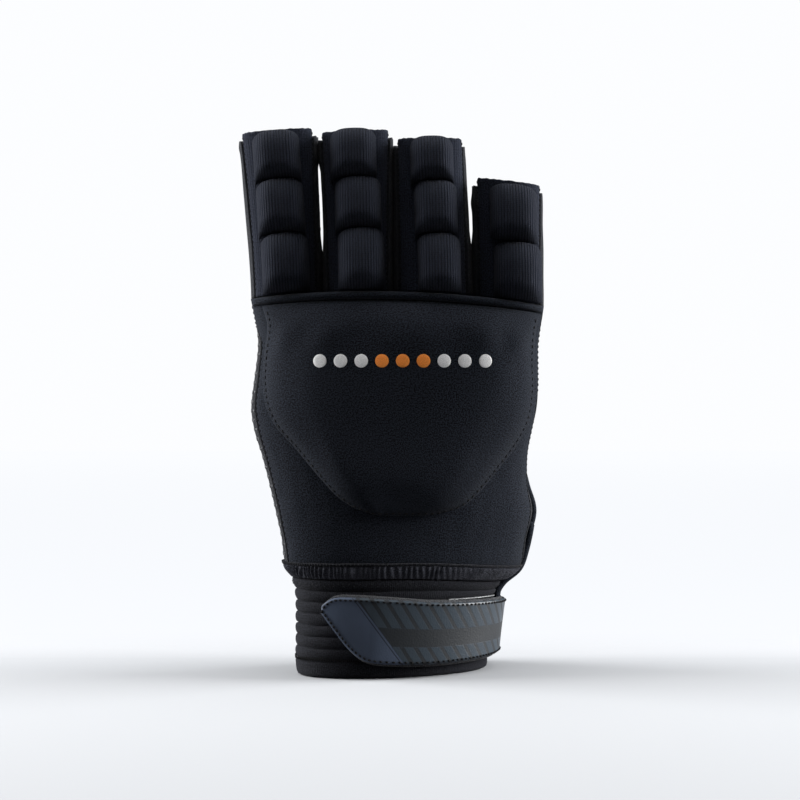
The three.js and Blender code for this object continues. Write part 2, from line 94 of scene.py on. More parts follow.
SEAM_SAG = 3  # that the gathered seam hangs lower under the thumb
BAND_HEIGHT = HEM_HEIGHT + RIB_COUNT * RIB_PITCH
PALM_FOOT = BAND_HEIGHT + SEAM_HEIGHT
KNUCKLES = PALM_FOOT + PALM_LENGTH
GUARD_LENGTH = PALM_LENGTH - BINDING_HEIGHT - 2 * GAP

# Thumb hole
HOLE_ANGLE = 44
HOLE_WIDTH = 30
HOLE_RISE = 27
HOLE_HEIGHT = PALM_FOOT + 3.3 + HOLE_RISE
HOLE_LEAN = 0.4
PIPING = 1.5
PIPING_TAIL = 1.5
TAIL_TURN = 225

# Fingers
FINGER_LENGTH = 58.5
FINGER_DEPTH = 23
FINGER_POWER = 2.7
FINGER_CURL = 3
FINGER_TAPER = 1.7
FINGER_LEAN = 1.3
FINGER_CLOTH = 1.8
FINGER_WIDTH = 0.254 * HAND_WIDTH
SEAM_ANGLE = 36
RIM_DROP = 3
PAD_WIDTH = 16.4
PAD_CROWN = 6.6
PAD_EDGE = 1.4
PAD_SEAT = 0.6
PAD_SHOULDER = 4  # that a pad's upper edge falls from its middle to its corners
TIP_WRAP = 8  # degrees that a finger's back comes further round at its tip

# Strap
STRAP_FACE = 1
STRAP_BACKING = 1.3
STRAP_MARGIN = 0.8
STRAP_TIP = -133
STRAP_END = 116
PATCH_THICK = 0.9
PATCH_FROM = -92
PATCH_TO = -18
PATCH_HEIGHT = 18.4
PATCH_MIDDLE = 0.51

# Plan sections: up, left, right, dorsal, palmar, thumb, skew, power
WRIST_ROWS = (
    (0.0, -0.464, 0.487, 0.5, 0.5, 0, 0.28, 2.1),
    (0.16, -0.471, 0.487, 0.5, 0.5, 0, 0.28, 2.1),
    (0.5, -0.471, 0.505, 0.5, 0.5, 0, 0.28, 2.1),
    (0.85, -0.475, 0.532, 0.5, 0.5, 0, 0.27, 2.1),
    (1.0, -0.495, 0.565, 0.51, 0.51, 0, 0.26, 2.1),
)
HAND_ROWS = (
    (0.0, -0.357, 0.443, 0.62, 0.62, 0, 0.24, 2.15),
    (0.1, -0.371, 0.462, 0.62, 0.64, 0.02, 0.21, 2.2),
    (0.19, -0.389, 0.476, 0.61, 0.645, 0.05, 0.18, 2.25),
    (0.29, -0.411, 0.468, 0.6, 0.64, 0.01, 0.14, 2.3),
    (0.4, -0.4375, 0.468, 0.59, 0.62, 0, 0.1, 2.3),
    (0.505, -0.464, 0.482, 0.575, 0.59, 0, 0.06, 2.35),
    (0.59, -0.4755, 0.496, 0.565, 0.57, 0, 0.04, 2.4),
    (0.69, -0.468, 0.503, 0.55, 0.545, 0, 0.02, 2.45),
    (0.835, -0.456, 0.502, 0.53, 0.515, 0, 0, 2.55),
    (0.917, -0.464, 0.511, 0.515, 0.5, 0, 0, 2.6),
    (1.0, -0.479, 0.521, 0.5, 0.49, 0, 0, 2.65),
)


def sized(rows, foot, tall, width, depth):
    """Rows of shares as rows of millimetres."""
    return tuple(
        (
            foot + up * tall,
            left * width,
            right * width,
            dorsal * depth,
            palmar * depth,
            thumb * depth,
            skew,
            power,
        )
        for up, left, right, dorsal, palmar, thumb, skew, power in rows
    )


SECTIONS = sized(WRIST_ROWS, 0, BAND_HEIGHT, WRIST_WIDTH, WRIST_DEPTH) + sized(
    HAND_ROWS, PALM_FOOT, PALM_LENGTH, HAND_WIDTH, HAND_DEPTH
)

# Outline of the guard: up as a share of its length, left and right of the hand's width
GUARD_ROWS = (
    (0.187, -0.035, 0.1),
    (0.199, -0.07, 0.17),
    (0.219, -0.12, 0.23),
    (0.262, -0.176, 0.28),
    (0.32, -0.225, 0.325),
    (0.385, -0.273, 0.37),
    (0.453, -0.322, 0.415),
    (0.523, -0.378, 0.452),
    (0.593, -0.412, 0.474),
    (0.684, -0.428, 0.484),
    (0.812, -0.425, 0.482),
    (0.92, -0.413, 0.486),
    (1.0, -0.43, 0.5),
)

# Strap: share of its length from the tip, lower and upper edge, how far it stands off
STRAP_ROWS = (
    (0.0, 0.662, 0.711, 0.0),
    (0.012, 0.613, 0.782, 0.0),
    (0.04, 0.475, 0.843, 0.0),
    (0.075, 0.3, 0.85, 0.1),
    (0.11, 0.18, 0.845, 0.4),
    (0.135, 0.145, 0.838, 0.9),
    (0.175, 0.124, 0.82, 1.0),
    (0.24, 0.108, 0.788, 1.0),
    (0.31, 0.111, 0.77, 1.0),
    (0.42, 0.124, 0.757, 1.1),
    (0.54, 0.142, 0.745, 1.2),
    (0.7, 0.133, 0.733, 0.6),
    (1.0, 0.133, 0.733, 0.0),
)

Finger = namedtuple(
    "Finger", "name left right tip_left tip_right rim_left rim_right depth shift wide pads"
)
# Each pad: from and to along the finger, how far it lies off the finger's line of pads, and
# how far its lower edge follows the arch of its upper one
LITTLE_PADS = ((0.706, 0.995, -0.75, 0.8), (0.376, 0.7, -0.5, 0.8), (0.01, 0.37, 0, 0.1))
RING_PADS = ((0.716, 1.012, -1.75, 0.8), (0.396, 0.71, -0.5, 0.8), (0.01, 0.39, 0.2, 0.1))
MIDDLE_PADS = ((0.729, 1.01, -0.5, 0.8), (0.389, 0.723, 0.4, 0.8), (0.01, 0.383, 1.1, 0.1))
INDEX_PADS = ((0.499, 0.975, 0, 0.1), (0.01, 0.492, 1.2, 0.1))
FINGERS = (
    Finger("little", -1.88, -0.915, -2.055, -1.0, 1.0, 1.035, 0.76, 0.03, 0.95, LITTLE_PADS),
    Finger("ring", -0.902, 0.022, -0.985, 0.018, 1.005, 1.024, 0.96, 0.07, 0.93, RING_PADS),
    Finger("middle", 0.036, 1.085, 0.032, 1.0, 0.97, 0.97, 0.96, 0.06, 0.87, MIDDLE_PADS),
    Finger("index", 1.1, 2.05, 1.095, 2.045, 0.74, 0.69, 0.74, 0.09, 0.97, INDEX_PADS),
)


def blend(a, b, share):
    return a + (b - a) * share


def smooth(low, high, value):
    """0 below low, 1 above high and a smooth step between them."""
    share = min(max((value - low) / (high - low), 0), 1)
    return share * share * (3 - 2 * share)


def signed_power(value, power):
    return math.copysign(abs(value) ** power, value)


@lru_cache(maxsize=None)
def row_at(table, place):
    """A table's row at any place along its first column, on a smooth curve through its rows."""
    last = len(table) - 1
    p = min(max(place, table[0][0]), table[last][0])
    i = 0
    while i < last - 1 and table[i + 1][0] < p:
        i += 1
    a, b = table[i], table[i + 1]
    before, after = table[max(i - 1, 0)], table[min(i + 2, last)]
    span = b[0] - a[0]
    s = (p - a[0]) / span
    row = []
    for k in range(len(a)):
        start = (b[k] - before[k]) / (b[0] - before[0]) * span
        end = (after[k] - a[k]) / (after[0] - a[0]) * span
        row.append(
            a[k] * (2 * s**3 - 3 * s**2 + 1)
            + start * (s**3 - 2 * s**2 + s)
            + b[k] * (3 * s**2 - 2 * s**3)
            + end * (s**3 - s**2)
        )
    return tuple(row)


def arch_at(x):
    return KNUCKLE_ARCH * (1 - ((x - KNUCKLE_PEAK) / (HAND_WIDTH / 2)) ** 2)


def thumb_share(angle):
    """How much of the swell over the thumb's root an angle has."""
    turned = (angle - THUMB_ANGLE + 180) % 360 - 180
    away = min(abs(turned) / THUMB_SPREAD, 1)
    return math.cos(away * math.pi / 2) ** 2


def plan_point(section, angle, clear):
    """x and y of a plan section's point, clear of it by some millimetres."""
    _, left, right, dorsal, palmar, thumb, skew, power = section
    middle = (left + right) / 2
    out = clear + thumb * thumb_share(angle)
    c = signed_power(math.cos(math.radians(angle)), 2 / power)
    s = signed_power(math.sin(math.radians(angle)), 2 / power)
    x = middle + ((right - left) / 2 + out) * c
    return x, ((dorsal if s < 0 else palmar) + out) * s + skew * (x - middle)


def dorsal_angle(section, x):
    """The angle on the back of a section whose point lies at x."""
    half = (section[2] - section[1]) / 2
    share = min(max((x - section[1] - half) / half, -1), 1)
    return 360 - math.degrees(math.acos(signed_power(share, section[7] / 2)))


def hand_point(height, angle, out):
    """The hand's and wrist's surface, at a height of the straight glove."""
    x, y = plan_point(row_at(SECTIONS, height), angle, out)
    share = min(max((height - PALM_FOOT) / PALM_LENGTH, 0), 1)
    near_seam = smooth(24, BAND_HEIGHT, height) * (1 - smooth(PALM_FOOT, 60, height))
    sag = SEAM_SAG * max(math.cos(math.radians(angle)), 0) ** 1.5 * near_seam
    return Vector((x, y, height + arch_at(x) * share - sag))


@lru_cache(maxsize=None)
def finger_section(finger, t):
    half = blend(FINGER_DEPTH, finger.depth * HAND_DEPTH, max(1 - t, 0) ** FINGER_TAPER) / 2
    lean = t**FINGER_LEAN
    left = FINGER_WIDTH * blend(finger.left, finger.tip_left, lean)
    right = FINGER_WIDTH * blend(finger.right, finger.tip_right, lean)
    return t, left, right, half, half, 0, 0, FINGER_POWER


def finger_point(finger, t, angle, out, drop=0):
    """A finger's surface, t from 0 at the knuckles to 1 at the rim, which stands drop lower."""
    section = finger_section(finger, t)
    x, y = plan_point(section, angle, out)
    across = (x - section[1]) / (section[2] - section[1])
    rim = FINGER_LENGTH * blend(finger.rim_left, finger.rim_right, across) - drop
    foot = arch_at(x) + GAP / 2
    return Vector((x, y + FINGER_CURL * t**2, KNUCKLES + blend(foot, rim, t)))


def crowded(share):
    """Shares that crowd towards both ends."""
    return (1 - math.cos(math.pi * share)) / 2


def soft(share):
    """A quarter of a circle, from 0 at 0 to 1 from 1 on."""
    return math.sqrt(1 - (1 - min(share, 1)) ** 2)


def rise(v, w, foot, top, sides):
    """How high a soft pad has risen, from 0 on its border to 1 further in."""
    return soft(v / foot) * soft((1 - v) / top) * soft(min(w, 1 - w) / sides)


def ruffle(point, size, seed=0):
    """Smooth unevenness from -1 to 1 over some millimetres."""
    return noise.noise(Vector(point) / size + Vector((seed * 7.3, seed * 3.1, 0)))


def angle_along(height, angle, millimetres):
    """The angle that lies some millimetres round the hand from another."""
    steps = 8
    turned = angle
    for _ in range(steps):
        ahead = hand_point(height, turned + 0.5, 0)
        behind = hand_point(height, turned - 0.5, 0)
        turned += millimetres / steps / (ahead - behind).length
    return turned


def hole_point(turn, out, grow=0):
    """The thumb hole's border, grow millimetres outside the hole."""
    lift = (HOLE_RISE + grow) * math.sin(turn)
    across = (HOLE_WIDTH / 2 + grow) * math.cos(turn) + HOLE_LEAN * lift
    height = HOLE_HEIGHT + lift
    return hand_point(height, angle_along(height, HOLE_ANGLE, across), out)


def little_seam(height):
    """The angle of the seam under the little finger."""
    under = (KNUCKLES - height) / PALM_LENGTH
    return blend(LITTLE_SEAM_TOP, LITTLE_SEAM, smooth(0.08, 0.18, under))


# Meshes


def placed(point):
    """A point of the tables, in millimetres, as a place in the part's frame."""
    return (Vector(point) + SHIFT) * MM


def shown(name, mesh, material, slot, *nodes):
    """Links a finished mesh as a piece that rides on the part and stands for its nodes."""
    data = bpy.data.meshes.new(name)
    mesh.to_mesh(data)
    mesh.free()
    data.materials.append(finish(material))
    for face in data.polygons:
        face.use_smooth = True
    piece = bpy.data.objects.new(name, data)
    bpy.context.scene.collection.objects.link(piece)
    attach(piece, "root")
    if nodes:
        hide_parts(*nodes)
    return piece


def lengths(points):
    """How far along a line of points each of them lies."""
    total = [0.0]
    for a, b in zip(points, points[1:]):
        total.append(total[-1] + (b - a).length)
    return total


def map_grid(mesh, columns, rows, place):
    """Two UV maps for a grid: UVMap in millimetres along its middle lines, Share in shares."""
    across = lengths([place(i / columns, 0.5, 1) for i in range(columns + 1)])
    along = lengths([place(0.5, j / rows, 1) for j in range(rows + 1)])
    measured = mesh.loops.layers.uv.new("UVMap")
    shares = mesh.loops.layers.uv.new("Share")
    for face in mesh.faces:
        for loop in face.loops:
            u, v = loop.vert.co.x, loop.vert.co.y
            loop[measured].uv = (across[round(u * columns)], along[round(v * rows)])
            loop[shares].uv = (u, v)


def slab(columns, rows, place, ring=False):
    """A closed wall on a patch of a surface. place(u, v, side) gives its outer (side 1) and
    inner (side 0) face in millimetres, and a ring closes on itself across u."""
    mesh = bmesh.new()
    bmesh.ops.create_grid(mesh, x_segments=columns, y_segments=rows, size=0.5)
    bmesh.ops.translate(mesh, verts=mesh.verts, vec=(0.5, 0.5, 0))
    grown = bmesh.ops.extrude_face_region(mesh, geom=mesh.faces[:])
    outer = [item for item in grown["geom"] if isinstance(item, bmesh.types.BMVert)]
    bmesh.ops.translate(mesh, verts=outer, vec=(0, 0, 1))
    if ring:
        ends = [
            face
            for face in mesh.faces
            if max(vert.co.x for vert in face.verts) < 1e-6
            or min(vert.co.x for vert in face.verts) > 1 - 1e-6
        ]
        bmesh.ops.delete(mesh, geom=ends, context="FACES_ONLY")
    map_grid(mesh, columns, rows, place)
    for vert in mesh.verts:
        vert.co = placed(place(min(max(vert.co.x, 0), 1), min(max(vert.co.y, 0), 1), round(vert.co.z)))
    bmesh.ops.remove_doubles(mesh, verts=mesh.verts, dist=1e-6)
    bmesh.ops.recalc_face_normals(mesh, faces=mesh.faces)
    return mesh


def tube(columns, sides, line, radius, ring=False):
    """A round bar along a line of points in millimetres, closed into a ring or with round ends."""
    mesh = bmesh.new()
    bmesh.ops.create_grid(mesh, x_segments=columns, y_segments=sides, size=0.5)
    bmesh.ops.translate(mesh, verts=mesh.verts, vec=(0.5, 0.5, 0))
    places = [line(i / columns) for i in range(columns + 1)]
    total = lengths(places)
    layer = mesh.loops.layers.uv.new("UVMap")
    for face in mesh.faces:
        for loop in face.loops:
            u, v = loop.vert.co.x, loop.vert.co.y
            loop[layer].uv = (2 * math.pi * radius * v, total[round(u * columns)])
    for vert in mesh.verts:
        i = round(vert.co.x * columns)
        if ring:
            ahead = places[(i + 1) % columns] - places[(i - 1) % columns]
        else:
            ahead = places[min(i + 1, columns)] - places[max(i - 1, 0)]
        ahead.normalize()
        side = ahead.cross(Vector((0.2, -1, 0.1))).normalized()
        up = side.cross(ahead)
        turn = 2 * math.pi * vert.co.y
        thick = radius
        if not ring:
            ends = min(total[i], total[-1] - total[i]) / radius
            thick = radius * math.sqrt(max(1 - max(1 - ends, 0) ** 2, 0))
        vert.co = placed(places[i] + side * thick * math.cos(turn) + up * thick * math.sin(turn))
    bmesh.ops.remove_doubles(mesh, verts=mesh.verts, dist=1e-6)
    bmesh.ops.recalc_face_normals(mesh, faces=mesh.faces)
    return mesh


def beads(spots, size, detail=1):
    """Small rounded bumps in one mesh. A spot is its middle, its direction and the surface's
    normal there, and size its length, width and height, all in millimetres."""
    mesh = bmesh.new()
    for middle, ahead, normal in spots:
        normal = normal.normalized()
        ahead = (ahead - normal * ahead.dot(normal)).normalized()
        side = normal.cross(ahead)
        turn = Matrix((ahead, side, normal)).transposed().to_4x4()
        scale = Matrix.Diagonal([part * MM / 2 for part in size]).to_4x4()
        matrix = Matrix.Translation(placed(middle)) @ turn @ scale
        bmesh.ops.create_icosphere(mesh, subdivisions=detail, radius=1, matrix=matrix)
    return mesh


def hand_normal(height, angle, out=0):
    across = hand_point(height, angle + 0.5, out) - hand_point(height, angle - 0.5, out)
    up = hand_point(height + 0.5, angle, out) - hand_point(height - 0.5, angle, out)
    return across.cross(up).normalized()


def evenly(points, pitch):
    """Points at an even pitch along a line, each with its direction."""
    total = lengths(points)
    count = max(int(total[-1] / pitch), 1)
    found = []
    i = 0
    for k in range(count):
        want = (k + 0.5) * total[-1] / count
        while total[i + 1] < want:
            i += 1
        ahead = points[i + 1] - points[i]
        share = (want - total[i]) / max(ahead.length, 1e-9)
        found.append((points[i] + ahead * share, ahead.normalized()))
    return found


def swollen(piece, swell, held, eased, pressure=4, steps=20):
    """Swells a foam piece as cloth under pressure, much enlarged. Its held points stay in
    place, no point moves further than swell millimetres, and what has moved is eased."""
    scale = 20
    scene = bpy.context.scene
    rest = [vert.co.copy() for vert in piece.data.vertices]
    copy = bpy.data.objects.new(piece.name + "_cloth", piece.data.copy())
    scene.collection.objects.link(copy)
    copy.data.transform(Matrix.Scale(scale, 4))
    pinned = copy.vertex_groups.new(name="held")
    pinned.add([i for i, still in enumerate(held) if still], 1.0, "REPLACE")
    cloth = copy.modifiers.new("cloth", "CLOTH")
    cloth.settings.use_pressure = True
    cloth.settings.uniform_pressure_force = pressure
    cloth.settings.vertex_group_mass = "held"
    cloth.settings.effector_weights.gravity = 0
    cloth.collision_settings.use_collision = False
    cloth.point_cache.frame_start = 1
    cloth.point_cache.frame_end = steps
    for step in range(1, steps + 1):
        scene.frame_set(step)
    result = copy.evaluated_get(bpy.context.evaluated_depsgraph_get())
    for vert, start, moved in zip(piece.data.vertices, rest, result.data.vertices):
        move = moved.co / scale - start
        if move.length > swell * MM:
            move *= swell * MM / move.length
        vert.co = start + move
    scene.frame_set(1)
    bpy.data.objects.remove(copy)
    mesh = bmesh.new()
    mesh.from_mesh(piece.data)
    free = [vert for vert, still in zip(mesh.verts, held) if not still]
    for _ in range(eased):
        bmesh.ops.smooth_vert(
            mesh, verts=free, factor=0.5, use_axis_x=True, use_axis_y=True, use_axis_z=True
        )
    mesh.to_mesh(piece.data)
    mesh.free()
    return piece


# Materials


class Wires:
    """Adds nodes to a tree in few words."""

    def __init__(self, tree):
        self.tree = tree

    def node(self, kind, inputs=(), **settings):
        made = self.tree.nodes.new("ShaderNode" + kind)
        for name, value in settings.items():
            setattr(made, name, value)
        for key, value in dict(inputs).items():
            self.give(made.inputs[key], value)
        return made

    def give(self, socket, value):
        if isinstance(value, bpy.types.NodeSocket):
            self.tree.links.new(value, socket)
        else:
            socket.default_value = value

    def math(self, operation, a, b=0.0, clamp=False):
        made = self.node("Math", {0: a, 1: b}, operation=operation, use_clamp=clamp)
        return made.outputs[0]

    def sine(self, value, pitch):
        """A wave from 0 to 1, once over each pitch."""
        turned = self.math("MULTIPLY", value, 2 * math.pi / pitch)
        return self.math("MULTIPLY_ADD", self.math("SINE", turned), 0.5)

    def noise(self, vector, scale, detail=2.0, roughness=0.5):
        inputs = {"Vector": vector, "Scale": scale, "Detail": detail, "Roughness": roughness}
        return self.node("TexNoise", inputs).outputs["Fac"]

    def span(self, value, low, high, to_low=0.0, to_high=1.0):
        inputs = {0: value, 1: low, 2: high, 3: to_low, 4: to_high}
        return self.node("MapRange", inputs).outputs[0]

    def mix(self, share, a, b):
        made = self.node("Mix", data_type="RGBA")
        for socket, value in zip((made.inputs[0], made.inputs[6], made.inputs[7]), (share, a, b)):
            self.give(socket, value)
        return made.outputs[2]


def group(name, inputs, outputs, fill):
    """A node group, made once."""
    if name in bpy.data.node_groups:
        return bpy.data.node_groups[name]
    tree = bpy.data.node_groups.new(name, "ShaderNodeTree")
    for label, kind in inputs:
        tree.interface.new_socket(label, in_out="INPUT", socket_type=kind)
    for label, kind in outputs:
        tree.interface.new_socket(label, in_out="OUTPUT", socket_type=kind)
    start = tree.nodes.new("NodeGroupInput")
    end = tree.nodes.new("NodeGroupOutput")
    for label, socket in fill(Wires(tree), start.outputs).items():
        tree.links.new(socket, end.inputs[label])
    return tree


def knit_rows(wires, given):
    """Ribs along Y at the wale's pitch, each a chain of loops at the course's pitch."""
    place = wires.node("SeparateXYZ", {0: given["Place"]}).outputs
    across = wires.math("DIVIDE", place[0], given["Wale"])
    along = wires.math("DIVIDE", place[1], given["Course"])
    rib = wires.math("ABSOLUTE", wires.math("SINE", wires.math("MULTIPLY", across, math.pi)))
    chain = wires.math("ADD", along, wires.math("MULTIPLY", rib, 0.35))
    loop = wires.math("ABSOLUTE", wires.math("SINE", wires.math("MULTIPLY", chain, math.pi)))
    both = wires.math("MULTIPLY", rib, wires.math("MULTIPLY_ADD", loop, 0.45))
    both.node.inputs[1].links[0].from_node.inputs[2].default_value = 0.55
    return {"Height": both, "Rib": rib}


def cloth_grain(wires, given):
    """Yarn grain, broad unevenness and stray lint."""
    fine = wires.noise(given["Place"], given["Grain"], 3.0, 0.75)
    broad = wires.noise(given["Place"], 0.06, 2.0, 0.5)
    spots = wires.noise(given["Place"], 1.3, 4.0, 0.8)
    return {
        "Grain": wires.span(fine, 0.44, 0.56),
        "Broad": wires.span(broad, 0.3, 0.7),
        "Lint": wires.span(spots, 0.69, 0.74),
    }


FLOAT, VECTOR = "NodeSocketFloat", "NodeSocketVector"


def use_group(wires, name, fill, inputs, outputs, values):
    tree = group(name, inputs, outputs, fill)
    made = wires.node("Group")
    made.node_tree = tree
    for key, value in values.items():
        wires.give(made.inputs[key], value)
    return made.outputs


def knit(wires, place, wale, course):
    inputs = (("Place", VECTOR), ("Wale", FLOAT), ("Course", FLOAT))
    outputs = (("Height", FLOAT), ("Rib", FLOAT))
    values = {"Place": place, "Wale": wale, "Course": course}
    return use_group(wires, "Knit rows", knit_rows, inputs, outputs, values)


def grain(wires, place, scale):
    inputs = (("Place", VECTOR), ("Grain", FLOAT))
    outputs = (("Grain", FLOAT), ("Broad", FLOAT), ("Lint", FLOAT))
    values = {"Place": place, "Grain": scale}
    return use_group(wires, "Cloth grain", cloth_grain, inputs, outputs, values)


def tinted(colour, gain):
    return (*[min(part * gain, 1) for part in colour[:3]], 1)


def surface(name, roughness, sheen=0.0, specular=0.5):
    """A material with its shader's steady values set, and its wires."""
    material = bpy.data.materials.new(name)
    material.use_nodes = True
    shader = material.node_tree.nodes["Principled BSDF"]
    shader.inputs["Roughness"].default_value = roughness
    shader.inputs["Sheen Weight"].default_value = sheen
    shader.inputs["Sheen Roughness"].default_value = 0.45
    shader.inputs["Specular IOR Level"].default_value = specular
    wires = Wires(material.node_tree)
    return material, shader, wires


def uv_place(wires, name="UVMap"):
    made = wires.node("UVMap")
    made.uv_map = name
    return made.outputs[0]


def object_place(wires):
    """Object coordinates in millimetres."""
    found = wires.node("TexCoord").outputs["Object"]
    made = wires.node("Mapping", {"Vector": found, "Scale": (1000, 1000, 1000)})
    return made.outputs[0]


def bump(wires, shader, height, distance, strength=1.0):
    inputs = {"Height": height, "Distance": distance * MM, "Strength": strength}
    wires.give(shader.inputs["Normal"], wires.node("Bump", inputs).outputs[0])


def knitted(name, colour, wale, course, depth, contrast, place=uv_place, sheen=0.03):
    """Dark knitted cloth: yarn grain over ribs of loops, with painted shade in the grooves between the ribs
    and a painted highlight on their crowns, and a little lint.
    """
    material, shader, wires = surface(name, 0.9, sheen, 0.05)
    where = place(wires)
    loops = knit(wires, where, wale, course)
    yarn = grain(wires, where, 2.0)
    # Painted shade and highlight: the ribs' height darkens their grooves and lightens their crowns, mixed
    # with the yarn's grain.
    grain_and_painted_rib_shade = wires.math("MULTIPLY_ADD", loops["Height"], contrast, clamp=True)
    wires.give(grain_and_painted_rib_shade.node.inputs[2], wires.math("MULTIPLY", yarn["Grain"], 1 - contrast))
    cloth = wires.mix(grain_and_painted_rib_shade, tinted(colour, 0.12), tinted(colour, 2.1))
    worn = wires.mix(wires.math("MULTIPLY", yarn["Broad"], 0.3), cloth, tinted(colour, 1.35))
    lint = wires.mix(wires.math("MULTIPLY", yarn["Lint"], 0.25), worn, tinted(colour, 4))
    wires.give(shader.inputs["Base Color"], lint)
    relief = wires.math("MULTIPLY_ADD", yarn["Grain"], 0.35)
    wires.give(relief.node.inputs[2], wires.math("MULTIPLY", loops["Height"], min(contrast * 2, 1)))
    bump(wires, shader, relief, depth)
    return material


def suede(name, colour):
    """Synthetic suede: a soft nap with patches that lie differently."""
    material, shader, wires = surface(name, 0.85, 0.1, 0.08)
    where = uv_place(wires)
    nap = grain(wires, where, 4.0)
    cloth = wires.mix(nap["Grain"], tinted(colour, 0.7), tinted(colour, 1.35))
    patches = wires.mix(wires.math("MULTIPLY", nap["Broad"], 0.5), cloth, tinted(colour, 1.6))
    wires.give(shader.inputs["Base Color"], patches)
    bump(wires, shader, nap["Grain"], 0.12)
    return material


def felted(name, colour):
    """Felt: crossed fibres with a random grain, lighter where they stand up, which is a painted highlight on
    the raised fibres.
    """
    material, shader, wires = surface(name, 0.95, 0.12, 0.08)
    where = object_place(wires)
    fibres = grain(wires, where, 3.2)
    # Painted highlight: the grain that raises the fibres in the bump also lightens them.
    wires.give(
        shader.inputs["Base Color"],
        wires.mix(fibres["Grain"], tinted(colour, 0.5), tinted(colour, 1.6)),
    )
    bump(wires, shader, fibres["Grain"], 0.35)
    return material


def barred_leatherette(settings):
    """Fine grained leatherette, with rows of slanted glossy bars over and under a plain band, and bare past
    a slanted line towards the tip. The bars' lighter colour is partly their own tone and partly a painted
    highlight for their gloss, and a dark line just short of the slanted line is painted shade for a groove
    that has no relief."""
    colour = settings.leatherette_colour
    material, shader, wires = surface("slate_leatherette", 0.42, 0.02, 0.3)
    measured = wires.node("SeparateXYZ", {0: uv_place(wires)}).outputs
    share = wires.node("SeparateXYZ", {0: uv_place(wires, "Share")}).outputs
    tall = 20.0
    up = wires.math("MULTIPLY", share[1], tall)
    slant = wires.math("ADD", measured[0], wires.math("MULTIPLY", up, settings.bar_slant))
    step = wires.math("FRACT", wires.math("DIVIDE", slant, settings.bar_pitch * 1000))
    # The bars' lighter colour is partly their own tone and partly a painted highlight standing in for their
    # gloss.
    lit = wires.math(
        "MULTIPLY", wires.span(step, 0.0, 0.06), wires.span(step, 0.67, 0.72, 1.0, 0.0)
    )
    over = wires.span(share[1], 0.565, 0.575)
    under = wires.span(share[1], 0.275, 0.285, 1.0, 0.0)
    past = wires.math("ADD", measured[0], wires.math("MULTIPLY", up, 0.94))
    printed = wires.span(past, 31.5, 31.8)
    # Painted shade: a dark line for a groove just short of the print's slanted edge, drawn in colour only.
    painted_groove_shade_end = wires.span(past, 30.7, 30.9, 1.0, 0.0)
    painted_groove_shade = wires.math("MULTIPLY", wires.span(past, 30.2, 30.4), painted_groove_shade_end)
    rows = wires.math("MULTIPLY", wires.math("ADD", over, under, clamp=True), printed)
    bars = wires.math("MULTIPLY", lit, rows)
    band = wires.math("SUBTRACT", printed, rows, clamp=True)
    hide = grain(wires, uv_place(wires), 1.8)
    ground = wires.mix(hide["Broad"], tinted(colour, 0.85), tinted(colour, 1.15))
    with_rows = wires.mix(rows, ground, settings.band_colour)
    with_band = wires.mix(band, with_rows, settings.band_colour)
    with_bars = wires.mix(bars, with_band, settings.bar_colour)
    wires.give(shader.inputs["Base Color"], wires.mix(painted_groove_shade, with_bars, tinted(colour, 0.3)))
    wires.give(shader.inputs["Roughness"], wires.span(bars, 0.0, 1.0, 0.46, 0.3))
    pores = wires.node("TexVoronoi", {"Vector": uv_place(wires), "Scale": 1.7}).outputs["Distance"]
    relief = wires.math("MULTIPLY_ADD", bars, 0.3)
    wires.give(relief.node.inputs[2], wires.math("MULTIPLY", pores, 0.5))
    bump(wires, shader, relief, 0.06)
    return material


def moulded(name, colour, roughness, relief=0.05, specular=0.15, scale=6.0):
    """Thread, silicone, ink or plastic with a fine grain."""
    material, shader, wires = surface(name, roughness, 0, specular)
    where = object_place(wires)
    fine = grain(wires, where, scale)
    wires.give(
        shader.inputs["Base Color"],
        wires.mix(fine["Grain"], tinted(colour, 0.8), tinted(colour, 1.2)),
    )
    uneven = wires.span(fine["Grain"], 0, 1, roughness - 0.08, roughness + 0.08)
    wires.give(shader.inputs["Roughness"], uneven)
    bump(wires, shader, fine["Grain"], relief)
    return material


def finish(name):
    """The material of that name, made when it is first asked for."""
    if f"glove_{name}" in bpy.data.materials:
        return bpy.data.materials[f"glove_{name}"]
    settings = bpy.context.scene.glove
    wale = settings.knit_pitch * 1000
    makers = {
        "jersey": lambda: knitted(name, settings.jersey_colour, 0.8, 0.7, 0.12, 0.05),
        "rib_knit": lambda: knitted(name, settings.knit_colour, 1.05 * wale, 0.7, 0.4, 0.7),
        "finger_jersey": lambda: knitted(name, settings.knit_colour, wale, 0.5, 0.12, 0.3),
        "elastic": lambda: knitted(name, settings.elastic_colour, 0.7, 0.5, 0.2, 0.35),
        # The gathered seam's cloth is the elastic's colour made 2.6 times lighter, a painted highlight over
        # the gathers.
        "gathered": lambda: knitted(name, tinted(settings.elastic_colour, 2.6), 1.2, 0.8, 0.15, 0.3),
        "grip_suede": lambda: suede(name, settings.grip_colour),
        "felt": lambda: felted(name, settings.felt_colour),
        "slate_leatherette": lambda: barred_leatherette(settings),
        "black_thread": lambda: moulded(name, settings.thread_colour, 0.8, 0.05),
        "grey_thread": lambda: moulded(name, settings.pale_thread_colour, 0.7, 0.05),
        "silicone": lambda: moulded(name, settings.silicone_colour, 0.35, 0.02, 0.4),
        "hook_tape": lambda: moulded(name, settings.hook_colour, 0.5, 0.1, 0.12),
        "selvage": lambda: moulded(name, settings.selvage_glint_colour, 0.25, 0.02, 0.8),
        "white_print": lambda: moulded(name, settings.print_colour, 0.5, 0.03),
        "orange_print": lambda: moulded(name, settings.accent_colour, 0.5, 0.03),
    }
    material = makers[name]()
    material.name = f"glove_{name}"
    return material


def colour(label, default):
    return FloatVectorProperty(
        name=label, description=label, subtype="COLOR", size=4, default=(*default, 1), min=0, max=1
    )


def length(label, about, millimetres):
    return FloatProperty(
        name=label, description=about, default=millimetres * MM, unit="LENGTH", precision=5, min=0
    )


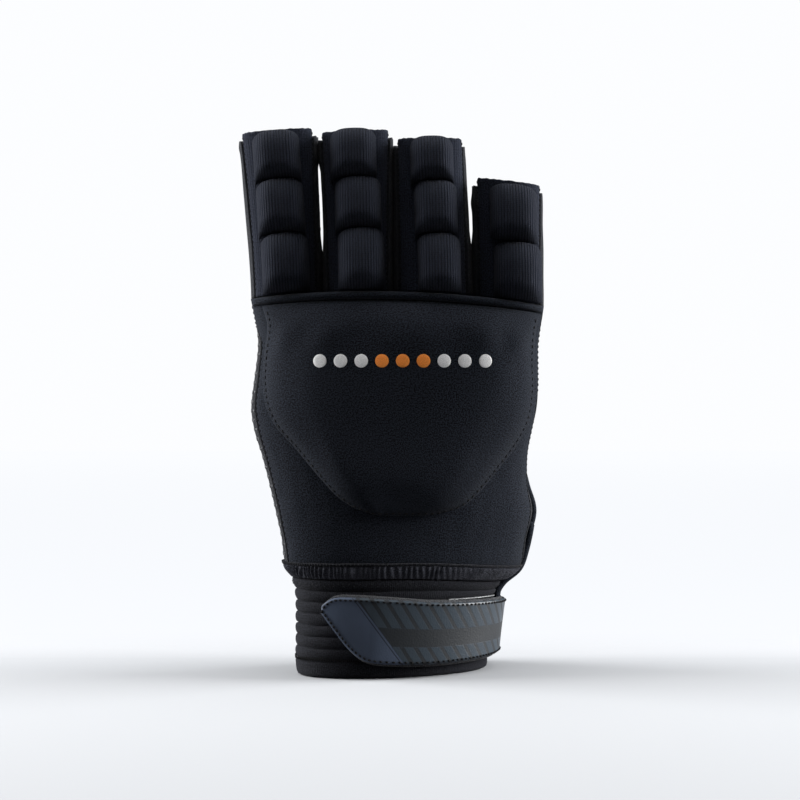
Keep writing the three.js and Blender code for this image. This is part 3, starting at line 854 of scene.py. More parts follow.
class GloveSettings(bpy.types.PropertyGroup):
    """Sizes and colours that a user may change."""

    knit_pitch: length("Knit rib", "From rib to rib of the finger knit", 0.95)
    pad_swell: length("Finger pad swell", "How far the foam swells under the knit", 0.5)
    guard_swell: length("Guard swell", "How far the guard's foam swells", 0.6)
    stitch_pitch: length("Stitch pitch", "From stitch to stitch of the seams", 2.2)
    stitch_length: length("Stitch length", "Length of a seam's stitch", 1.3)
    grip_pitch: length("Grip pitch", "From dash to dash of the palm's grip print", 3.2)
    bar_pitch: length("Bar pitch", "From bar to bar on the strap", 5.0)
    bar_slant: FloatProperty(name="Bar slant", description="Lean of the strap's bars", default=0.8)
    motif_count: IntProperty(name="Dots", description="Printed dots on the guard", default=9, min=1)
    motif_pitch: length("Dot pitch", "From dot to dot on the guard", 7.0)
    motif_size: length("Dot size", "Diameter of a printed dot", 4.6)
    jersey_colour: colour("Jersey", (0.0088, 0.0107, 0.0152))
    knit_colour: colour("Finger knit", (0.0116, 0.0137, 0.021))
    grip_colour: colour("Palm cloth", (0.008, 0.0092, 0.0128))
    elastic_colour: colour("Elastic", (0.0118, 0.0124, 0.0155))
    thread_colour: colour("Black thread", (0.004, 0.004, 0.005))
    pale_thread_colour: colour("Grey thread", (0.02, 0.021, 0.024))
    silicone_colour: colour("Grip print", (0.07, 0.072, 0.078))
    leatherette_colour: colour("Leatherette", (0.052, 0.069, 0.106))
    band_colour: colour("Strap's plain band", (0.0155, 0.0185, 0.022))
    # The bars' own tone, partly lightened as a painted highlight for their gloss.
    bar_colour: colour("Strap's bars", (0.033, 0.045, 0.058))
    felt_colour: colour("Felt", (0.06, 0.062, 0.068))
    hook_colour: colour("Hook tape", (0.006, 0.006, 0.007))
    # Painted highlight: the hook tape's edge is coloured pale for the glint along it.
    selvage_glint_colour: colour("Hook tape's edge", (0.12, 0.125, 0.13))
    print_colour: colour("Dots", (0.72, 0.72, 0.72))
    accent_colour: colour("Accent dots", (0.86, 0.26, 0.04))


# Pieces


class GLOVE_OT_wrist_band(bpy.types.Operator):
    """Builds the plain hem, the ribbed band and the stitches between them"""

    bl_idname = "glove.wrist_band"
    bl_label = "Wrist band"

    def execute(self, context):
        def hem(u, v, side):
            height = v * (HEM_HEIGHT - GAP / 2)
            if not side:
                return hand_point(height, 360 * u, -BAND_WALL)
            fold = math.sqrt(max(1 - (1 - min(v / 0.3, 1)) ** 2, 0))
            crease = smooth(0.0, 0.14, 1 - v)
            wave = ruffle((u * 60, v * 2, 0), 2.2)
            out = RIB_RELIEF * blend(-0.6, 1.0, min(fold, crease)) + 0.08 * wave
            return hand_point(height, 360 * u, out)

        shown("hem_edge", slab(220, 14, hem, ring=True), "elastic", "elastic", "band_hem")

        def ribs(u, v, side):
            turn = 2 * math.pi * u
            sway = 0.012 * ruffle((math.cos(turn) * 9, math.sin(turn) * 9, v * 30), 3)
            share = min(max(v + sway * v * (1 - v) * 4, 0), 1)
            height = blend(HEM_HEIGHT + GAP / 2, BAND_HEIGHT - GAP / 2, share)
            if not side:
                return hand_point(height, 360 * u, -BAND_WALL)
            phase = (v * RIB_COUNT) % 1
            round_rib = math.sin(math.pi * phase**1.2) ** 0.36 if 0 < v < 1 else 0
            wave = ruffle((u * 180, v * 28, 4), 5, 2)
            return hand_point(height, 360 * u, 1.1 * round_rib - 0.35 + 0.1 * wave)

        shown("ribbed_cuff", slab(240, 10 * RIB_COUNT, ribs, ring=True), "elastic", "elastic", "wrist_band")

        spots = []
        zigs = 132
        for i in range(zigs):
            for step, lean in ((0.0, 1), (0.5, -1)):
                angle = 360 * (i + step) / zigs
                height = HEM_HEIGHT + 0.3
                start = hand_point(height - 0.9 * lean, angle - 0.55, 0)
                ahead = hand_point(height + 0.9 * lean, angle + 0.55, 0) - start
                middle = hand_point(height, angle, RIB_RELIEF + 0.1)
                spots.append((middle, ahead, hand_normal(height, angle)))
        shown("hem_stitches", beads(spots, (1.5, 0.32, 0.3)), "black_thread", "elastic")

        spots = []
        for i in range(112):
            angle = 360 * i / 112
            height = BAND_HEIGHT - 0.5 * RIB_PITCH + 0.35 * (-1) ** i
            ahead = hand_point(height, angle + 0.5, 0) - hand_point(height, angle - 0.5, 0)
            middle = hand_point(height, angle, RIB_RELIEF + 0.08)
            spots.append((middle, ahead + Vector((0, 0, 0.3 * (-1) ** i)), hand_normal(height, angle)))
        shown("band_stitches", beads(spots, (0.75, 0.35, 0.3)), "grey_thread", "elastic")
        return {"FINISHED"}


class GLOVE_OT_wrist_seam(bpy.types.Operator):
    """Builds the gathered seam between the hand and the band, with its overlocked edge"""

    bl_idname = "glove.wrist_seam"
    bl_label = "Wrist seam"

    def execute(self, context):
        pleats = 130

        def gathers(u, v, side):
            height = blend(BAND_HEIGHT + GAP / 2, PALM_FOOT - GAP / 2, v)
            if not side:
                return hand_point(height, 360 * u, GATHER_RELIEF - SEAM_WALL)
            turn = 2 * math.pi * u
            loose = ruffle((math.cos(turn) * 20, math.sin(turn) * 20, 0), 3.5)
            across = hand_point(height, 360 * u, 0).x
            middle = hand_point((BAND_HEIGHT + PALM_FOOT) / 2, 360 * u, 0).x
            lean = 2 * (middle - across) / WRIST_WIDTH * math.sin(turn) / (math.sin(turn) ** 2 + 0.15)
            pleat = 0.5 + 0.5 * math.cos(pleats * (turn + lean) + 7 * loose)
            belly = math.sin(math.pi * min(max(v * 0.9 + 0.05, 0), 1)) ** 0.6
            depth = 0.75 + 0.6 * loose
            away = ((360 * u + 180) % 360 - 180) / 30
            flare = 1.3 * math.exp(-(away**2)) * smooth(0, 0.12, v) * smooth(0, 0.9, 1 - v)
            out = GATHER_RELIEF + (depth * pleat + 0.15) * belly - 0.1 + flare
            return hand_point(height, 360 * u, out)

        mesh = slab(pleats * 6, 8, gathers, ring=True)
        # Its material is a lighter copy of the elastic, a painted highlight over the gathers.
        shown("gathered_seam", mesh, "gathered", "overlock_thread", "wrist_seam")

        def edge(u):
            lift = 0.22 * ruffle((math.cos(2 * math.pi * u) * 30, math.sin(2 * math.pi * u) * 30, 0), 6)
            return hand_point(PALM_FOOT + 0.35 + lift, 360 * u % 360, 0.45)

        shown("overlock_edge", tube(360, 8, edge, 0.5, ring=True), "elastic", "overlock_thread")

        spots = []
        loops = 190
        for i in range(loops):
            angle = 360 * i / loops
            height = PALM_FOOT + 0.35
            ahead = hand_point(height + 1, angle + 0.35, 1) - hand_point(height - 1, angle - 0.35, 1)
            spots.append((hand_point(height, angle, 0.9), ahead, hand_normal(height, angle)))
        shown("overlock_loops", beads(spots, (1.35, 0.34, 0.34)), "grey_thread", "overlock_thread")
        return {"FINISHED"}


def panel_point(height, angle, out):
    """The hand's panels, drawn in a little over the gathers and softly uneven."""
    above = height - PALM_FOOT
    pucker = 0.07 * math.exp(-above / 3) * math.cos(math.radians(angle) * 90)
    wave = 0.45 * ruffle((angle * 0.9, height, 0), 24) + 0.12 * ruffle((angle * 0.9, height, 0), 7, 3)
    ends = smooth(0, 6, above) * smooth(0, 5, KNUCKLES - height)
    return hand_point(height, angle, out + pucker + wave * ends)


class GLOVE_OT_panels(bpy.types.Operator):
    """Builds the padded back of the hand and the palm cloth with the thumb hole"""

    bl_idname = "glove.panels"
    bl_label = "Hand panels"

    def execute(self, context):
        def back(u, v, side):
            height = blend(PALM_FOOT + GAP / 2, KNUCKLES - GAP / 2, v)
            angle = blend(little_seam(height) + SEAM_SLIT, 360 + THUMB_SEAM - SEAM_SLIT, u)
            edge = min(u, 1 - u) * 160
            turned = 1 - math.sqrt(max(1 - max(1 - edge / 1.6, 0) ** 2, 0))
            return panel_point(height, angle, -1.1 * turned if side else -NEOPRENE)

        mesh = slab(130, 90, back)
        piece = shown("hand_back", mesh, "jersey", "neoprene", "back_panel")

        def palm(u, v, side):
            height = blend(PALM_FOOT + GAP / 2, KNUCKLES - GAP / 2, v)
            angle = blend(THUMB_SEAM + SEAM_SLIT, little_seam(height) - SEAM_SLIT, u)
            return panel_point(height, angle, 0 if side else -PALM_CLOTH)

        mesh = slab(150, 100, palm)
        middle = placed(hand_point(HOLE_HEIGHT, HOLE_ANGLE, 0))
        border = [placed(hole_point(math.radians(2 * i), -PALM_CLOTH / 2)) for i in range(180)]
        normal = hand_normal(HOLE_HEIGHT, HOLE_ANGLE)
        along = Vector((0, 0, 1))
        across = along.cross(normal).normalized()
        outline = [((p - middle).dot(across), (p - middle).dot(along)) for p in border]

        def reach(vert):
            """How far out a point of the palm lies, where the hole's border is 1."""
            x, z = (vert.co - middle).dot(across), (vert.co - middle).dot(along)
            turn = math.atan2(z, x)

            def apart(place):
                """How far that border point lies from the point's direction, in radians."""
                return abs((math.atan2(place[1], place[0]) - turn + math.pi) % (2 * math.pi) - math.pi)

            return math.hypot(x, z) / math.hypot(*min(outline, key=apart))

        near = [v for v in mesh.verts if (v.co - middle).length < 0.045 and v.co.y > middle.y - 0.02]
        inside = {v: reach(v) for v in near}
        gone = [v for v, share in inside.items() if share < 0.93]
        for vert, share in inside.items():
            if 0.93 <= share < 1.0:
                x, z = (vert.co - middle).dot(across), (vert.co - middle).dot(along)
                vert.co += (across * x + along * z) * (1 / share - 1)
        bmesh.ops.delete(mesh, geom=gone, context="VERTS")
        holes = [edge for edge in mesh.edges if len(edge.link_faces) == 1]
        bmesh.ops.bridge_loops(mesh, edges=holes)
        bmesh.ops.recalc_face_normals(mesh, faces=mesh.faces)
        piece = shown("palm_cloth", mesh, "grip_suede", "grip_cloth", "palm_panel")

        for name, thumb_side in (("little_side_stitches", False), ("thumb_side_stitches", True)):
            line = []
            for j in range(61):
                height = blend(PALM_FOOT + 2, KNUCKLES - 2, j / 60)
                angle = 360 + THUMB_SEAM - 2.2 if thumb_side else little_seam(height) + 2.2
                line.append(panel_point(height, angle, 0.05))
            spots = []
            for place, ahead in evenly(line, 1.9):
                height = min(max(place.z, PALM_FOOT), KNUCKLES)
                spots.append((place, ahead, hand_normal(height, 350 if thumb_side else 207)))
            shown(name, beads(spots, (1.2, 0.4, 0.4)), "black_thread", "neoprene")
        return {"FINISHED"}


class GLOVE_OT_piping(bpy.types.Operator):
    """Builds the piping round the thumb hole, with its tail over the wrist seam"""

    bl_idname = "glove.piping"
    bl_label = "Thumb piping"

    def execute(self, context):
        def ring(u):
            return hole_point(2 * math.pi * u, 0.6, -(PIPING + GAP))

        mesh = tube(160, 14, ring, PIPING, ring=True)
        stops = [
            hole_point(math.radians(TAIL_TURN - 25), 0.2, -(PIPING + GAP)),
            hole_point(math.radians(TAIL_TURN), 0.5, -(PIPING + GAP)),
            hand_point(51, 6, 0.5),
            hand_point(43.7, 3, 0.5),
            hand_point(37.8, 1, 0.2),
            hand_point(33.3, 0, 1.5),
            hand_point(28.6, -1, 1.2),
            hand_point(25, -3, 1.5),
            hand_point(21.5, -5, 1.5),
        ]
        total = lengths(stops)
        stations = tuple((d / total[-1], *p) for d, p in zip(total, stops))

        def tail(u):
            return Vector(row_at(stations, u)[1:])

        shown("thumb_hole_piping", mesh, "jersey", "neoprene", "thumb_piping")
        shown("piping_tail", tube(40, 12, tail, PIPING_TAIL), "jersey", "neoprene")
        return {"FINISHED"}


def guard_point(u, v, side):
    """The guard: a foam pad with a soft border, a plateau and low mounds over the knuckles."""
    v, u = crowded(v), crowded(u)
    at = blend(GUARD_ROWS[0][0], GUARD_ROWS[-1][0], v)
    _, left, right = row_at(GUARD_ROWS, at)
    height = PALM_FOOT + at * GUARD_LENGTH
    section = row_at(SECTIONS, height)
    from_angle = dorsal_angle(section, left * HAND_WIDTH)
    to_angle = dorsal_angle(section, right * HAND_WIDTH)
    seat = hand_point(height, blend(from_angle, to_angle, u), GUARD_SEAT)
    if not side:
        return seat
    foot = rise(v, u, 0.025, 0.03, 0.022)
    body = rise(v, u, 0.24, 0.2, 0.2)
    mounds = 0.95 * math.cos(2 * math.pi * (u - 0.1) * 5) * math.exp(-(((v - 0.85) / 0.08) ** 2))
    thick = 0.15 + 0.75 * foot + (GUARD_CROWN - 0.9) * body**1.3 + mounds * body
    return seat - Vector((0, thick, 0))


def on_guard(tree, x, z):
    """The guard's surface, seen from the front, as a point and a normal in millimetres."""
    start = placed((x, 0, z))
    start.y = -0.1
    found, normal, _, _ = tree.ray_cast(start, Vector((0, 1, 0)))
    if found is None:
        return None
    return found / MM - SHIFT, normal


class GLOVE_OT_guard(bpy.types.Operator):
    """Builds the guard over the back of the hand, its stitching and its printed dots"""

    bl_idname = "glove.guard"
    bl_label = "Guard"

    def execute(self, context):
        settings = context.scene.glove
        piece = shown("hand_guard", slab(96, 84, guard_point), "jersey", "neoprene", "knuckle_guard")
        held = []
        for vert in piece.data.vertices:
            back = vert.co / MM - SHIFT
            section = row_at(SECTIONS, round(back.z, 1))
            seat = hand_point(section[0], dorsal_angle(section, back.x), GUARD_SEAT)
            held.append(seat.y - back.y < 1.2)
        swollen(piece, settings.guard_swell * 1000, held, 12)
        tree = BVHTree.FromObject(piece, bpy.context.evaluated_depsgraph_get())

        outline = []
        inset = 0.8
        for rows, side in ((GUARD_ROWS[::-1], 1), (GUARD_ROWS, 2)):
            steps = 40
            low, high = GUARD_ROWS[0][0], GUARD_ROWS[-1][0]
            for i in range(steps + 1):
                share = crowded(i / steps)
                at = blend(high, low, share) if side == 1 else blend(low, high, share)
                at = min(max(at, low + inset / GUARD_LENGTH), high - 0.02)
                row = row_at(GUARD_ROWS, round(at, 5))
                x = row[side] * HAND_WIDTH + (inset if side == 1 else -inset)
                outline.append(Vector((x, 0, PALM_FOOT + at * GUARD_LENGTH + arch_at(x) * at)))
        spots = []
        for middle, ahead in evenly(outline, settings.stitch_pitch * 1000):
            found = on_guard(tree, middle.x, middle.z)
            if found:
                spots.append((found[0] + found[1] * 0.08, ahead, found[1]))
        size = (settings.stitch_length * 1000 + 0.1, 0.6, 0.5)
        shown("guard_stitches", beads(spots, size), "black_thread", "neoprene")

        dots = {"white_print": [], "orange_print": []}
        for i in range(settings.motif_count):
            place = i - (settings.motif_count - 1) / 2
            x = 4 + place * settings.motif_pitch * 1000
            found = on_guard(tree, x, 107.5)
            if found:
                name = "orange_print" if abs(place) < 1.5 else "white_print"
                dots[name].append((found[0] + found[1] * 0.02, Vector((1, 0, 0)), found[1]))
        for name, spots in dots.items():
            size = (settings.motif_size * 1000, settings.motif_size * 1000, 0.34)
            shown(f"{name}_dots", beads(spots, size, 3), name, "neoprene")
        return {"FINISHED"}


class GLOVE_OT_binding(bpy.types.Operator):
    """Builds the rolled seam between the back of the hand and the fingers"""

    bl_idname = "glove.binding"
    bl_label = "Knuckle binding"

    def execute(self, context):
        def roll(u, v, side):
            height = KNUCKLES - GAP / 2 - BINDING_HEIGHT * (1 - v)
            seat = hand_point(height, blend(180 + BINDING_STOP, 360 - BINDING_STOP, u), GUARD_SEAT)
            if not side:
                return seat
            belly = math.sqrt(max(1 - (2 * v - 1) ** 2, 0))
            ends = min(1, min(u, 1 - u) * 25)
            wave = 0.12 * ruffle((u * 100, v * 3, 0), 2.5)
            return seat - Vector((0, (0.2 + (BINDING_RELIEF + wave) * belly) * math.sqrt(ends), 0))

        mesh = slab(180, 10, roll)
        shown("knuckle_roll", mesh, "jersey", "neoprene", "knuckle_binding")
        return {"FINISHED"}


def side_push(finger, left, t):
    """How far a finger's side bulges towards its neighbour, in millimetres."""
    if (finger.name, left) in (("little", False), ("ring", True)):
        parted = smooth(0.2, 0.42, t) * smooth(0.12, 0.2, 1 - t)
        return 0.25 - 0.55 * parted
    if (finger.name, left) == ("middle", False):
        return 0.5 * smooth(0.54, 0.68, 1 - t)
    if (finger.name, left) == ("index", True):
        return 0.5 * smooth(0.36, 0.55, 1 - t) + 0.5 * math.exp(-(((t - 0.87) / 0.07) ** 2))
    if (finger.name, left) in (("ring", False), ("middle", True)):
        return 0.3
    return 0.0


class GLOVE_OT_fingers(bpy.types.Operator):
    """Builds the knitted back and the grip cloth front of each half finger"""

    bl_idname = "glove.fingers"
    bl_label = "Fingers"

    def execute(self, context):
        for number, finger in enumerate(FINGERS):

            def back(u, v, side, finger=finger, number=number):
                seam = SEAM_ANGLE - TIP_WRAP * v**2
                angle = blend(180 + seam, 360 - seam, u)
                corner = max(abs(2 * u - 1) - 0.84, 0) / 0.16
                nicked = 0.3 * ruffle((u * 30, number * 9, 0), 1.6) - 1.7 * corner**2.5
                fray = nicked * smooth(0.93, 1, v)
                edge = min(u, 1 - u) * 24
                turned = 1 - math.sqrt(max(1 - max(1 - edge / 1.2, 0) ** 2, 0))
                point = finger_point(finger, v, angle, -0.7 * turned if side else -FINGER_CLOTH)
                return point + Vector((0, 0, fray))

            piece = shown(
                f"{finger.name}_knit_back",
                slab(56, 70, back),
                "finger_jersey",
                "rib_knit",
                f"{finger.name}_finger_back",
            )

            def front(u, v, side, finger=finger, number=number):
                seam = SEAM_ANGLE - TIP_WRAP * v**2 - 1
                angle = blend(-seam, 180 + seam, u)
                corner = max(abs(2 * u - 1) - 0.75, 0) / 0.25
                nicked = 0.5 * ruffle((u * 60, number * 5, 3), 1.6) + 1.2 * (1 - corner**3)
                nicked -= 2.6 * math.exp(-(((abs(2 * u - 1) - 0.8) / 0.06) ** 2))
                fray = nicked * smooth(0.93, 1, v)
                wave = 0.3 * ruffle((u * 60, v * 55, number * 11), 12) * smooth(0, 0.2, v)
                push = side_push(finger, angle > 90, v) * abs(math.cos(math.radians(angle))) ** 0.3
                out = (0 if side else -FINGER_CLOTH) + wave * 0.6 + push
                return finger_point(finger, v, angle, out, RIM_DROP) + Vector((0, 0, fray))

            piece = shown(
                f"{finger.name}_grip_front",
                slab(90, 60, front),
                "grip_suede",
                "grip_cloth",
                f"{finger.name}_finger_palm",
            )

            spots = []
            for side in (-1, 1):
                line = []
                for j in range(41):
                    t = blend(0.03, 0.985, j / 40)
                    turn = 270 + side * (90 - SEAM_ANGLE + TIP_WRAP * t**2 - 4)
                    line.append(finger_point(finger, t, turn, 0.08))
                middle = (finger_section(finger, 0.5)[1] + finger_section(finger, 0.5)[2]) / 2
                for place, ahead in evenly(line, 1.8):
                    spots.append((place, ahead, Vector((place.x - middle, -9, 0))))
            shown(f"{finger.name}_seam_stitches", beads(spots, (1.1, 0.36, 0.3)), "black_thread", "rib_knit")
        return {"FINISHED"}


class GLOVE_OT_pads(bpy.types.Operator):
    """Builds the foam blocks on the fingers and swells them under their knit"""

    bl_idname = "glove.pads"
    bl_label = "Finger pads"

    def execute(self, context):
        settings = context.scene.glove
        for finger in FINGERS:
            half = finger.wide * PAD_WIDTH / 2
            for number, (low, high, aside, follow) in enumerate(finger.pads):
                shape = (finger, low, high, aside, follow, half)

                def block(u, v, side, shape=shape):
                    finger, low, high, aside, follow, half = shape
                    v, u = crowded(v), crowded(u)
                    t = blend(low, high, v)
                    section = finger_section(finger, t)
                    middle = (section[1] + section[2]) / 2 + finger.shift * PAD_WIDTH + aside
                    from_angle = dorsal_angle(section, middle - half)
                    to_angle = dorsal_angle(section, middle + half)
                    seat = finger_point(finger, t, blend(from_angle, to_angle, u), PAD_SEAT)
                    corner = 1 - math.sqrt(1 - abs(2 * u - 1) ** 2.2)
                    seat.z -= PAD_SHOULDER * blend(follow, 1, v) * corner
                    under = math.sin(math.pi / 2 * min(v / 0.27, 1)) ** 0.9
                    crown = under * soft((1 - v) / 0.42) * soft(min(u, 1 - u) / 0.36)
                    thick = blend(PAD_EDGE * 0.5, PAD_CROWN, crown)
                    return seat - Vector((0, thick, 0)) if side else seat

                piece = shown(
                    f"{finger.name}_foam_{number + 1}",
                    slab(26, 24, block),
                    "rib_knit",
                    "rib_knit",
                    f"{finger.name}_pad_{number + 1}",
                )
                held = [
                    not (0.05 < place[0] < 0.95 and place[2]) for place in pad_places(piece)
                ]
                swollen(piece, settings.pad_swell * 1000, held, 1)
        return {"FINISHED"}


def pad_places(piece):
    """Each vertex's share across and up its grid, and whether it is on the outer face."""
    layer = piece.data.uv_layers["Share"].data
    places = [(0.0, 0.0, False)] * len(piece.data.vertices)
    for face in piece.data.polygons:
        outer = face.normal.y < -0.05
        for corner in face.loop_indices:
            vertex = piece.data.loops[corner].vertex_index
            u, v = layer[corner].uv
            places[vertex] = (u, v, outer or places[vertex][2])
    return places


def strap_arcs():
    """The angle and the length along the strap, in millimetres, from its tip to its end."""
    steps = 120
    angles = [blend(STRAP_TIP, STRAP_END, i / steps) for i in range(steps + 1)]
    return angles, lengths([hand_point(14, angle, 3) for angle in angles])


def strap_point(along, height, out):
    """A point of the strap's surface, out millimetres from its inner face."""
    row = row_at(STRAP_ROWS, along)
    stand = RIB_RELIEF + GAP + row[3] * (PATCH_THICK + GAP)
    return hand_point(height, blend(STRAP_TIP, STRAP_END, along), stand + out)


def strap_layer(lift, thick, margin, soften):
    """A layer of the strap: its place on the grid, with a rounded cut edge."""
    tall = (WRIST_WIDTH + WRIST_DEPTH) / 4 * math.radians(STRAP_END - STRAP_TIP)

    def place(u, v, side):
        along = blend(margin / tall, 1, u**1.5)
        _, low, high, _ = row_at(STRAP_ROWS, along)
        bottom, top = low * BAND_HEIGHT + margin, high * BAND_HEIGHT - margin
        height = blend(bottom, top, v)
        edge = min(height - bottom, top - height, along * tall - margin)
        curve = 1 - math.sqrt(max(1 - max(1 - edge / soften, 0) ** 2, 0))
        fuzz = 0.0
        if thick == STRAP_BACKING:
            fuzz = 0.14 * ruffle((along * 180, height, side * 5), 1.3)
        out = lift + (thick - curve * thick * 0.45 + fuzz if side else fuzz * 0.5)
        return strap_point(along, height, out)

    return place


class GLOVE_OT_strap(bpy.types.Operator):
    """Builds the hook tape and the closing strap: felt, leatherette and stitching"""

    bl_idname = "glove.strap"
    bl_label = "Strap"

    def execute(self, context):
        settings = context.scene.glove

        def patch(u, v, side):
            height = PATCH_MIDDLE * BAND_HEIGHT + PATCH_HEIGHT * (v - 0.5)
            out = RIB_RELIEF + GAP + (PATCH_THICK if side else 0)
            return hand_point(height, blend(PATCH_FROM, PATCH_TO, u), out)

        shown("hook_tape", slab(90, 40, patch), "hook_tape", "hook_tape", "hook_patch")

        spots = []
        for j in range(14):
            for i in range(34):
                height = PATCH_MIDDLE * BAND_HEIGHT + PATCH_HEIGHT * ((j + 0.5) / 14 - 0.5)
                angle = blend(PATCH_FROM, PATCH_TO, (i + 0.5 + 0.5 * (j % 2)) / 35)
                middle = hand_point(height, angle, RIB_RELIEF + GAP + PATCH_THICK)
                spots.append((middle, Vector((0, 0, 1)), hand_normal(height, angle)))
        shown("hook_rows", beads(spots, (0.5, 0.3, 0.5)), "hook_tape", "hook_tape")

        # The welt's pale colour is a painted highlight, the glint along the hook tape's upper edge, and it
        # runs only over the part where that glint falls.
        def welt(u):
            height = PATCH_MIDDLE * BAND_HEIGHT + PATCH_HEIGHT / 2 - 0.2
            return hand_point(height, blend(-62, PATCH_TO, u), RIB_RELIEF + GAP + PATCH_THICK)

        shown("hook_tape_welt", tube(60, 8, welt, 0.28), "selvage", "hook_tape")

        mesh = slab(230, 26, strap_layer(0, STRAP_BACKING, 0, 0.6))
        felt = shown("strap_felt", mesh, "felt", "felt", "strap_backing")
        long = strap_arcs()[1][-1] * MM

        lift = STRAP_BACKING + 0.1
        mesh = slab(260, 30, strap_layer(lift, STRAP_FACE + GAP - 0.1, STRAP_MARGIN, 0.7))
        face = shown("strap_leatherette", mesh, "slate_leatherette", "leatherette", "strap_face")

        angles, arcs = strap_arcs()
        total = arcs[-1]
        inset = STRAP_MARGIN + 0.85
        lower, upper = [], []
        for i in range(161):
            along = (i / 160) ** 1.5
            _, low, high, _ = row_at(STRAP_ROWS, along)
            lower.append(Vector((along * total, 0, low * BAND_HEIGHT)))
            upper.append(Vector((along * total, 0, high * BAND_HEIGHT)))
        line = lower[::-1] + upper
        shifted = []
        for i, point in enumerate(line):
            ahead = line[min(i + 1, len(line) - 1)] - line[max(i - 1, 0)]
            if ahead.length > 1e-6:
                ahead.normalize()
                shifted.append(point + Vector((ahead.z, 0, -ahead.x)) * inset)
        tip = min(p.x for p in shifted)
        kept = [p for p in shifted if p.x >= tip + 0.2]
        spots = []
        for middle, ahead in evenly(kept, settings.stitch_pitch * 760):
            ahead = (ahead + Vector((ahead.z, 0, -ahead.x)) * 0.2).normalized()
            along = min(max(middle.x / total, 0), 0.995)
            out = STRAP_BACKING + GAP + STRAP_FACE + 0.12
            here = strap_point(along, middle.z, out)
            there = strap_point(min(along + ahead.x / total, 1), middle.z + ahead.z, out)
            angle = blend(STRAP_TIP, STRAP_END, along)
            spots.append((here, there - here, hand_normal(middle.z, angle)))
        size = (settings.stitch_length * 1000, 0.8, 0.6)
        shown("strap_stitches", beads(spots, size), "black_thread", "leatherette")
        return {"FINISHED"}


class GLOVE_OT_grip(bpy.types.Operator):
    """Prints the grip dashes on the palm cloth and the fingers' fronts"""

    bl_idname = "glove.grip"
    bl_label = "Grip print"

    def execute(self, context):
        pitch = context.scene.glove.grip_pitch * 1000
        spots = []
        rows = int(PALM_LENGTH / pitch)
        for j in range(1, rows):
            height = PALM_FOOT + j * PALM_LENGTH / rows
            end = little_seam(height) - 3
            count = 46
            for i in range(count):
                angle = blend(end, THUMB_SEAM + 8, (i + 0.5 * (j % 2)) / count)
                middle = panel_point(height, angle, 0.02)
                hole = hand_point(HOLE_HEIGHT, HOLE_ANGLE, 0)
                away = middle - hole
                across = (hand_point(height, angle, 0) - hand_point(height, HOLE_ANGLE, 0)).length
                side = math.copysign(across, angle - HOLE_ANGLE) - HOLE_LEAN * (height - HOLE_HEIGHT)
                if math.hypot(side / (HOLE_WIDTH / 2 + 5), (height - HOLE_HEIGHT) / (HOLE_RISE + 5)) < 1:
                    continue
                ahead = Vector((0, 0, 1)) + hand_normal(height, angle).cross(Vector((0, 0, 1))) * 0.25
                spots.append((middle, ahead, hand_normal(height, angle)))
        shown("palm_grip", beads(spots, (1.7, 0.85, 0.36)), "silicone", "grip_cloth")

        for finger in FINGERS:
            spots = []
            tall = FINGER_LENGTH * (finger.rim_left + finger.rim_right) / 2
            for j in range(1, int(tall / pitch)):
                t = j * pitch / tall
                for i in range(11):
                    angle = blend(25, 155, (i + 0.5 * (j % 2)) / 11)
                    middle = finger_point(finger, t, angle, 0.3, RIM_DROP)
                    ahead = finger_point(finger, t + 0.02, angle, 0.3, RIM_DROP) - middle
                    aside = finger_point(finger, t, angle + 1, 0.3, RIM_DROP) - middle
                    spots.append((middle, ahead, aside.cross(ahead)))
            shown(f"{finger.name}_grip", beads(spots, (1.7, 0.85, 0.5)), "silicone", "grip_cloth")
        return {"FINISHED"}


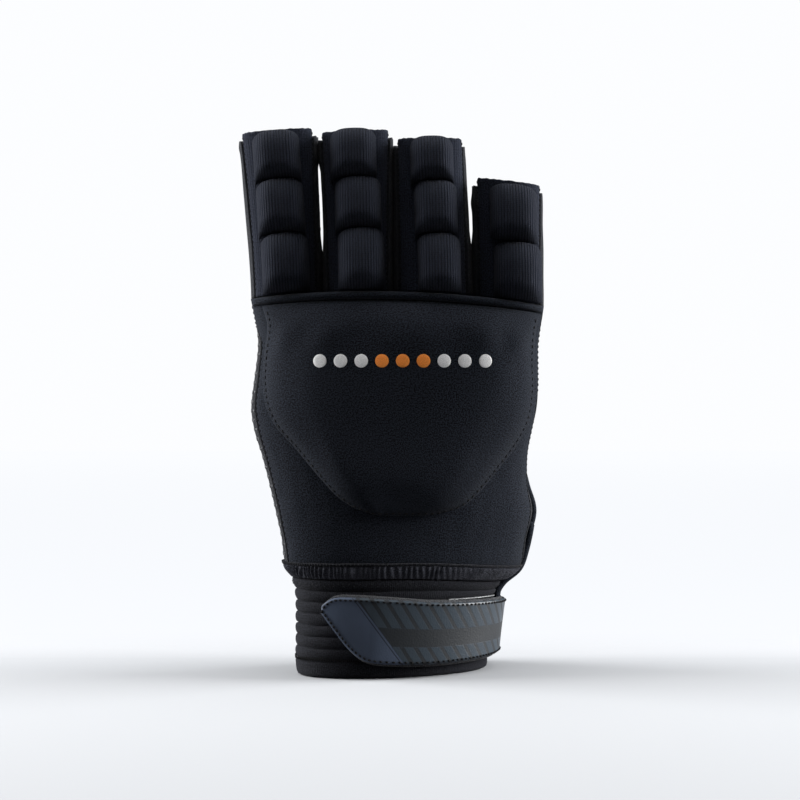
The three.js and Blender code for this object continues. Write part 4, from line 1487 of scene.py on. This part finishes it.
class GLOVE_OT_stage(bpy.types.Operator):
    """Builds the pale floor with a painted shade band near the glove's foot, the soft light and the camera
    """

    bl_idname = "glove.stage"
    bl_label = "Stage"

    def execute(self, context):
        scene = context.scene
        mesh = bmesh.new()
        bmesh.ops.create_grid(mesh, x_segments=2, y_segments=2, size=3)
        data = bpy.data.meshes.new("floor")
        mesh.to_mesh(data)
        mesh.free()
        floor = bpy.data.objects.new("floor", data)
        floor.location.z = -0.0001
        scene.collection.objects.link(floor)
        material, shader, wires = surface("pale_floor", 0.7, 0.0, 0.2)
        where = wires.node("SeparateXYZ", {0: object_place(wires)}).outputs
        # Painted shade: a soft, slightly darker band across the whole floor near the glove's foot.
        painted_shade_band = wires.math("MULTIPLY", wires.span(where[1], -35, 8), wires.span(where[1], 14, 60, 1, 0))
        far = wires.span(where[1], 30, 110)
        near = wires.mix(painted_shade_band, (0.37, 0.379, 0.394, 1), (0.36, 0.37, 0.386, 1))
        pale = wires.mix(far, near, (0, 0, 0, 1))
        seen = wires.node("LightPath").outputs["Is Camera Ray"]
        wires.give(shader.inputs["Base Color"], wires.mix(seen, (0.1, 0.1, 0.105, 1), pale))
        glow = wires.span(where[1], 400, 2600)
        tone = wires.mix(glow, (0.915, 0.935, 0.97, 1), (0.96, 0.975, 1, 1))
        wires.give(shader.inputs["Emission Color"], tone)
        lit = wires.math("MULTIPLY", far, wires.span(seen, 0, 1, 0.4, 1))
        wires.give(shader.inputs["Emission Strength"], lit)
        data.materials.append(material)

        world = bpy.data.worlds.new("studio")
        scene.world = world
        world.use_nodes = True
        sky = Wires(world.node_tree)
        seen = sky.node("LightPath").outputs["Is Camera Ray"]
        back = world.node_tree.nodes["Background"]
        back.inputs["Color"].default_value = (0.975, 0.985, 1, 1)
        sky.give(back.inputs["Strength"], sky.span(seen, 0, 1, 0.05, 1.0))

        lights = (
            ("top_light", (0.0, 0.02, 0.95), 1.2, 0.8, 9.0),
            ("left_light", (-0.85, 0.1, 0.35), 0.6, 0.6, 23.0),
            ("right_light", (0.85, 0.1, 0.35), 0.6, 0.6, 22.0),
        )
        aim = Vector((0, 0, 0.1))
        for name, place, wide, tall, power in lights:
            lamp = bpy.data.lights.new(name, "AREA")
            lamp.shape = "RECTANGLE"
            lamp.size = wide
            lamp.size_y = tall
            lamp.energy = power
            light = bpy.data.objects.new(name, lamp)
            light.location = place
            light.rotation_euler = (aim - Vector(place)).to_track_quat("-Z", "Y").to_euler()
            scene.collection.objects.link(light)

        lens = bpy.data.cameras.new("camera")
        lens.lens = 90
        lens.sensor_width = 36
        camera = bpy.data.objects.new("camera", lens)
        camera.location = (3.15 * MM, -700 * MM, 94.3 * MM)
        camera.rotation_euler = (math.radians(90), 0, 0)
        scene.collection.objects.link(camera)
        scene.camera = camera
        scene.view_settings.view_transform = "Standard"
        return {"FINISHED"}


STEPS = (
    GLOVE_OT_wrist_band,
    GLOVE_OT_wrist_seam,
    GLOVE_OT_panels,
    GLOVE_OT_piping,
    GLOVE_OT_guard,
    GLOVE_OT_binding,
    GLOVE_OT_fingers,
    GLOVE_OT_pads,
    GLOVE_OT_strap,
    GLOVE_OT_grip,
    GLOVE_OT_stage,
)


class GLOVE_PT_panel(bpy.types.Panel):
    """Lists the glove's sizes, colours and pieces"""

    bl_idname = "GLOVE_PT_panel"
    bl_label = "Field hockey glove"
    bl_space_type = "VIEW_3D"
    bl_region_type = "UI"
    bl_category = "Glove"

    def draw(self, context):
        for name in GloveSettings.__annotations__:
            self.layout.prop(context.scene.glove, name)
        for step in STEPS:
            self.layout.operator(step.bl_idname)


CLASSES = (GloveSettings, *STEPS, GLOVE_PT_panel)


def register():
    for made in CLASSES:
        bpy.utils.register_class(made)
    bpy.types.Scene.glove = PointerProperty(type=GloveSettings)


def unregister():
    del bpy.types.Scene.glove
    for made in reversed(CLASSES):
        bpy.utils.unregister_class(made)


def main():
    register()
    for step in STEPS:
        group_name, name = step.bl_idname.split(".")
        getattr(getattr(bpy.ops, group_name), name)()


if __name__ == "__main__":
    main()
